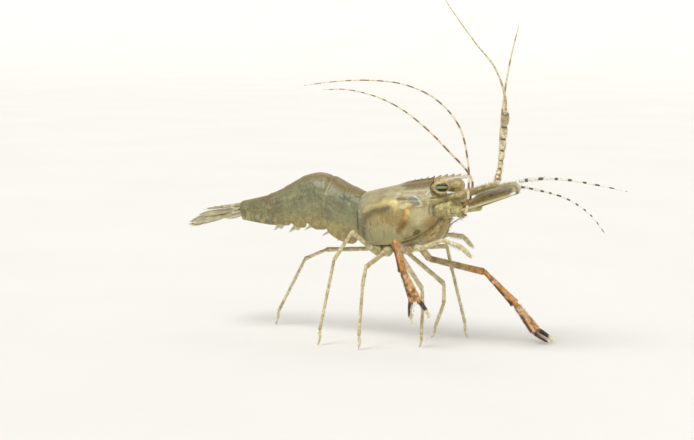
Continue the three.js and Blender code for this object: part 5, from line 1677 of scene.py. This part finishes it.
def finger_skin():
    """The hand: orange palm, fingers nearly black with a cream inner streak and cream tips."""
    paint = Paint("finger_skin")
    run, _, part = paint.place().parts()
    orange, scales = orange_skin(paint)
    pale_palm = run.step(2.4, 1.2) * run.step(0.3, 0.9) * paint.noise(1.4, 3, 0.6).step(0.42, 0.54)
    orange.lay("e3cda6", pale_palm * part.step(0.5, 0.1) * 0.75)
    # painted shade at the palm's root, darkest on the side that faces the tail
    orange.lay("432a18", run.step(0.8, 0.3) * shaded_rear_side(paint).step(-0.5, 0.6) * part.step(0.5, 0.1) * 0.6)
    cloud = paint.noise(1.8, 3, 0.6)
    brown = paint.mix("2b1c14", "5a3d24", cloud.step(0.42, 0.66))
    cream = paint.mix("d8c69c", "f1e8cf", cloud.step(0.4, 0.6))
    length = run + (cloud - 0.5) * 0.7
    colour = paint.mix(orange, brown, (length + part * 0.15).step(0.55, 0.8))
    front_side = paint.add("TexCoord", output="Normal").dot((0.94, -0.3, 0.1)).step(0.7, 0.9)
    streak = front_side * length.step(0.6, 0.9) * part.step(1.7, 1.4)
    colour.lay(cream, streak * 0.9)
    colour.lay(cream, (length + part * 0.8).step(3.5, 3.8))
    colour.lay("b7803e", (length + part * 0.8).step(4.9, 5.4) * 0.4)
    colour = paint.mix(orange, colour, part.step(0.4, 0.6))
    return paint.finish(colour, 0.24, paint.bump(scales, 0.04), scatter=0.12, coat=0.3, uneven=0.15)


def feeler_skin(name, pale, dark, band_length, share):
    """A whip with pale dashes and darker gaps along it, a little uneven in length."""
    paint = Paint(name)
    run, _, _ = paint.place().parts()
    wave = ((run + paint.noise(0.5) * 1.5) / band_length).math("FRACT")
    dash = wave.step(share + 0.06, share - 0.02) * wave.step(0, 0.07)
    cloud = paint.noise(3, 2, 0.6)
    light = paint.mix(pale, "f3ecd6", cloud.step(0.4, 0.7) * 0.6)
    colour = paint.mix(dark, light, dash)
    colour.lay("6a5433", cloud.step(0.42, 0.3) * 0.4)
    return paint.finish(colour, 0.35, scatter=0.15, coat=0.2)


def beaded_skin():
    """The thick feeler: cream knots with dark waists, then a plain tan whip."""
    paint = Paint("beaded_feeler")
    run, knot, beaded = paint.place().parts()
    bead = knot.math("FRACT")
    waist = bead.step(0.14, 0.02).over(bead.step(0.86, 0.98))
    cloud = paint.noise(2.2, 3, 0.6)
    cream = paint.mix("b9a67c", "eadfbe", cloud.step(0.38, 0.62))
    cream.lay("8e7552", run.step(8.8, 10.2) * 0.6)
    cream.lay("b58a4a", run.step(3.6, 1) * cloud.step(0.56, 0.44) * 0.8)
    cream.lay("4c3924", waist * 0.9)
    whip = paint.mix("a58a58", "d8c8a0", cloud.step(0.4, 0.62))
    colour = paint.mix(whip, cream, beaded.step(0.3, 0.6))
    return paint.finish(colour, 0.35, scatter=0.2, coat=0.2)


def scale_skin():
    """The antennal scale: pale greenish rib, brown-olive clear blade with fine veins, bluish-white end."""
    paint = Paint("scale_skin")
    run, across, rib = paint.place().parts()
    cloud = paint.noise(1.2, 3, 0.6)
    veins = paint.noise(1, where=paint.place() * (0.25, 14, 0))
    blade = paint.mix("57461f", "77643a", cloud.step(0.4, 0.66))
    blade.lay("8f7d4c", veins.step(0.52, 0.66) * 0.6)
    blade.lay("b08f63", run.step(5, 2.5) * across.step(0.4, 0.6) * across.step(0.85, 0.7) * 0.6)
    edge = across.step(0.86, 0.97).over(across.step(0.16, 0.05))
    colour = paint.mix(blade, "a3986a", edge * 0.9)
    colour.lay("b8a972", run.step(9.5, 10.1) * 0.7)
    colour.lay("cbbf8a", rib.step(0.4, 0.6))
    colour.lay("dbe4dc", run.step(9.3, 9.9) * across.step(0.3, 0.1).over(rib.step(0.4, 0.6)))
    colour.lay("e9e3c2", paint.noise(3, 2).step(0.62, 0.72) * 0.3)
    middle = across.step(0.2, 0.4) * across.step(0.9, 0.7) * rib.step(0.5, 0.2) * run.step(1.5, 4)
    return paint.finish(colour, 0.3, paint.bump(veins, 0.03), scatter=0.2, coat=0.35, alpha=1 - middle * 0.1)


def eye_paint(name, side):
    """A glassy eye: a pale rim round a grey-green window, with a pale band across its middle that is a
    painted reflection, a dark dash above and a black bar below.
    """
    paint = Paint(name)
    centre = (eye_centre(side) + SHIFT) * MM
    local = (paint.add("TexCoord", output="Object") - tuple(centre)) * ((1 / (EYE_RADIUS * MM),) * 3)
    gaze = mirrored(GAZE, side)
    level = unit(np.cross(UP, gaze)) * side
    upright = unit(np.cross(gaze, level)) * side
    ahead, sideways, upward = local.dot(gaze), local.dot(level), local.dot(upright)
    grain = paint.noise(2.6, 4, 0.65)
    # the left eye's pale ground is lighter than the right one's: painted light
    pale = paint.mix("b5a268" if side > 0 else "a0925a", "d3c38a", grain.step(0.38, 0.6))
    pale.lay("8a6f42", grain.step(0.42, 0.32) * 0.7)
    pale.lay("7a5f38", paint.noise(0.7).step(0.52, 0.62) * ahead.step(0.1, -0.2) * 0.7)
    across = sideways / 0.82
    reach = across * across
    tall = (upward + 0.08) / 0.55
    whole = reach + tall * tall
    facing = ahead.step(0, 0.15)
    rim = whole.step(1.25, 1.4) * whole.step(2, 1.6) * facing
    pale.lay("d9cf9c", rim * upward.step(0.2, -0.3))
    pale.lay("45402a", whole.step(0.98, 1.1) * whole.step(1.3, 1.16) * facing * 0.75)
    # the grey-green window, with a pale band across its middle: painted reflection
    green = paint.mix("4c4f2c", "8c8e64", upward.step(-0.34, -0.12) * upward.step(0.12, 0))
    green.lay("636640", upward.step(0.26, 0.42))
    green.lay("55552f", reach.step(0.5, 0.95) * 0.8)
    broken = grain.step(0.36, 0.5).over(reach.step(0.14, 0.06))
    dash = (upward - 0.21).math("ABSOLUTE").step(0.09, 0.03) * broken
    green.lay("1c1c0a", dash * 0.85)
    low = (upward + 0.4 - reach * 0.1) / 0.13
    bar = (low * low + reach / 0.42).step(1.25, 0.75)
    green.lay("3a381c", (upward + 0.38).math("ABSOLUTE").step(0.2, 0.1) * 0.8)
    green.lay("060501", bar)
    colour = paint.mix(pale, green, whole.step(1.08, 0.9) * facing)
    return paint.finish(colour, 0.22, paint.bump(paint.cells(0.07), 0.006), coat=0.12, specular=0.35)


def coat_paint(name, root, tip):
    """Bristles, darker at the root and clearer at the tip."""
    paint = Paint(name)
    s, each, _ = paint.place().parts()
    colour = paint.mix(root, tip, s.step(0, 0.8))
    colour.lay(root, each.step(0.7, 1) * 0.5)
    return paint.finish(colour, 0.4, coat=0.1)


TAIL_SKIN = mottled("tail_fan", "9b946e", "c0b98f", "776e48", "55432a", 1, 0.3, spot_size=0.26)
SOFT_COAT = coat_paint("coat_pale", "8f7f55", "d9d0b0")


# ------------------------------------------------------------------ all the pieces
def coated(name, made, skin, coat_skin, node, ending="coat"):
    """The piece that stands for one CAD node, and the bristles on it as a piece of their own."""
    pieces, coats = made
    make_piece(name, pieces, skin, [node])
    make_piece(f"{name}_{ending}", coats, coat_skin, [node])


def trunk():
    """The head, the abdomen and the soft body under their shell."""
    flesh = mottled("flesh", "a39a72", "b9b189", "857a50", "6b5a34", 0.9, 0.15, scatter=0.3)
    cheek = mottled("cheek_and_jaws", "a4905c", "beae7e", "86703f", "6b5630", 1.3, 0.2)
    plates = shell_of_the_abdomen()
    shield = [head_shield()]
    for side in SIDES.values():
        shield.append(cheek_spine(side, 12.2, 0.6, 1))
        shield.append(cheek_spine(side, 10.2, 0.66, 0.75))
    make_piece("shield", shield, shell_of_the_head(), ["head_shield"])
    make_piece("beak", [rostrum()], beak_skin(), ["head_shield"])
    make_piece("head_flesh", [head_flesh()], cheek, ["head_shield"])
    snout = speckled_skin("face", "a0925c", "c3b883", "55491f", 0.55)
    make_piece("face", face(), snout, ["head_shield"])
    segments = [f"abdomen_{k}" for k in range(1, 7)]
    for index, segment in enumerate(segments):
        make_piece(f"plate_{index + 1}", [abdomen_plate(index)], plates, [segment])
    make_piece("abdomen_flesh", [abdomen_flesh()], flesh, segments)
    make_piece("tail_middle", telson(), TAIL_SKIN, ["telson"])
    make_piece("breast_keel", [breast()], flesh, ["breast"])
    make_piece("jaws", mouth(), cheek, ["mouth_parts"])
    return cheek


def limbs(cheek):
    """Everything that comes in pairs, the right side first."""
    stalk = speckled_skin("eyestalk", "a08c54", "cbb983", "5b4a26", 0.45)
    antenna_root = speckled_skin("antenna_root", "a69a60", "c9bf88", "6a6036", 0.5, strokes=0.5)
    stem = speckled_skin("feeler_root", "a3945c", "cdc08c", "5c4d24", 0.45)
    paddle = mottled("paddle", "b9b08a", "d8d0ae", "9d9168", "6b5a38", 1.2, 0.2)
    slim = banded_leg("first_leg", "cdc397", "e8e1c0", "b0a26c", "95885a")
    scale, haunch, arm, claw = scale_skin(), haunch_skin(), arm_skin(), finger_skin()
    whip = feeler_skin("whip_tan", "d9c29e", "83603f", 2.5, 0.55)
    dark_coat = coat_paint("coat_dark", "4a3d22", "a08c60")
    clear_coat = coat_paint("coat_clear", "b9ae8c", "efe9d6")
    arm_parts = (
        ("upper", arm_upper, haunch, SOFT_COAT, "limb"), ("wrist", arm_wrist, arm, dark_coat, "claw"),
        ("hand", arm_hand, claw, dark_coat, "claw"), ("finger", arm_finger, claw, dark_coat, "claw_tip"),
    )
    for name, side in SIDES.items():
        for place, shape in TAIL_BLADES.items():
            node = f"tail_fan_{place}_{name}"
            blade = tail_blade(side, shape)
            coated(f"fan_{place}_{name}", blade, TAIL_SKIN, SOFT_COAT, node, "fringe")
        for pair in range(5):
            node = f"pleopod_{pair + 1}_{name}"
            piece = f"paddle_{pair + 1}_{name}"
            coated(piece, pleopod(side, pair), paddle, clear_coat, node, "fringe")
        make_piece(f"eyeball_{name}", [eyeball(side)], eye_paint(f"eye_{name}", side), [f"eye_{name}"])
        make_piece(f"stalk_{name}", [eyestalk(side)], stalk, [f"eyestalk_{name}"])
        coated(f"stem_{name}", antennule_stem(name), stem, SOFT_COAT, f"antennule_stem_{name}")
        make_piece(f"antenna_root_{name}", antenna_stem(name), antenna_root, [f"antenna_stem_{name}"])
        blade = antennal_scale(name)
        coated(f"scale_{name}", blade, scale, SOFT_COAT, f"antennal_scale_{name}", "fringe")
        pieces, _ = feeler(ANTENNAE[name], (0.1, 1, 0), ANTENNA_RADII, 0.5)
        make_piece(f"whip_{name}", pieces, whip, [f"antenna_{name}_1", f"antenna_{name}_2"])
        coated(f"jaw_foot_{name}", jaw_foot(side), cheek, SOFT_COAT, f"third_maxilliped_{name}")
        coated(f"picker_{name}", first_leg(name), slim, SOFT_COAT, f"leg_1_{name}")
        for part, shape, skin, coat_skin, slot in arm_parts:
            coated(f"{part}_{name}", shape(name), skin, coat_skin, f"arm_{name}_{part}")

    skins = {
        "antennule_inner_right": feeler_skin("whip_plain", "d2c096", "a58a5c", 4, 0.7),
        "antennule_outer_right": beaded_skin(),
        "antennule_inner_left": feeler_skin("whip_short_dashes", "ece8dc", "4b4234", 1.5, 0.64),
        "antennule_outer_left": feeler_skin("whip_long_dashes", "ece8dc", "4b4234", 2.3, 0.72),
    }
    for name, shape in ANTENNULE_FEELERS.items():
        reference = (1, 0.1, 0) if "right" in name else LEFT
        made = feeler(reference=reference, ring_length=0.42, **shape)
        coated(f"whip_{name}", made, skins[name], SOFT_COAT, name)
    leg = banded_leg("walking_leg", "c5b98c", "e0d7b0", "a08f5a", "8f8150")
    for name in WALKING_LEGS:
        coated(f"walking_{name}", walking_leg(name), leg, SOFT_COAT, name)


# ------------------------------------------------------------------ floor, light and camera
FLOOR_ROWS, FLOOR_COLUMNS = 90, 40
# Each lamp's name, the way from the animal to it, its strength and its spread in degrees.
LAMPS = (
    ("key", (-0.35, -0.75, 1.25), 1.9, 35),
    ("fill", (0.9, -0.8, 0.5), 0.8, 60),
    ("rim", (-0.3, 1, 0.9), 0.6, 50),
)
SKY_COLOUR = (1, 0.99, 0.96, 1)
SKY_STRENGTH = 0.42
CAMERA_AZIMUTH = radians(28)
CAMERA_ELEVATION = radians(6.5)
CAMERA_DISTANCE = 0.31864
CAMERA_LENS = 100
CAMERA_TARGET = (0, 0, 20.7)  # in the animal's frame


def stage():
    """A pale floor that turns up into a backdrop, soft light from above and a camera at the side."""
    across = np.linspace(-2.5, 2.5, FLOOR_COLUMNS)
    t = np.linspace(0, 1, FLOOR_ROWS)
    depth = np.interp(t, (0, 0.45, 0.7, 1), (-2, 0.9, 1.5, 1.6))
    height = 1.9 * smooth(t, 0.42, 1) ** 1.6
    grid = joined(across[None], depth[:, None], height[:, None])
    faces = lattice(FLOOR_ROWS, FLOOR_COLUMNS, False)[:, ::-1]
    mesh = bpy.data.meshes.new("floor")
    mesh.from_pydata(grid.reshape(-1, 3).tolist(), [], faces.tolist())
    mesh.shade_smooth()
    paint = Paint("floor")
    colour = paint.mix("e9e7e2", "f0eeea", paint.noise(0.02, 3))
    mesh.materials.append(paint.finish(colour, 0.8, specular=0.1))
    put("floor", mesh)

    for name, way, strength, spread in LAMPS:
        lamp = bpy.data.lights.new(name, "SUN")
        lamp.energy = strength
        lamp.angle = radians(spread)
        x, y, z = unit(np.array(way))
        put(name, lamp).rotation_euler = (acos(z), 0, atan2(y, x) + pi / 2)
    world = bpy.data.worlds.new("studio")
    world.use_nodes = True
    sky = world.node_tree.nodes["Background"]
    sky.inputs["Color"].default_value = SKY_COLOUR
    sky.inputs["Strength"].default_value = SKY_STRENGTH
    bpy.context.scene.world = world

    lens = bpy.data.cameras.new("camera")
    lens.lens = CAMERA_LENS
    lens.sensor_width = 36
    lens.sensor_fit = "HORIZONTAL"
    lens.clip_start = 0.01
    camera = put("camera", lens)
    level = cos(CAMERA_ELEVATION)
    away = np.array([sin(CAMERA_AZIMUTH) * level, -cos(CAMERA_AZIMUTH) * level, sin(CAMERA_ELEVATION)])
    camera.location = (np.array(CAMERA_TARGET) + SHIFT) * MM + CAMERA_DISTANCE * away
    camera.rotation_euler = (pi / 2 - CAMERA_ELEVATION, 0, CAMERA_AZIMUTH)
    bpy.context.scene.camera = camera
    bpy.context.scene.view_settings.view_transform = "Standard"


stage()
limbs(trunk())

bpy.context.view_layer.update()
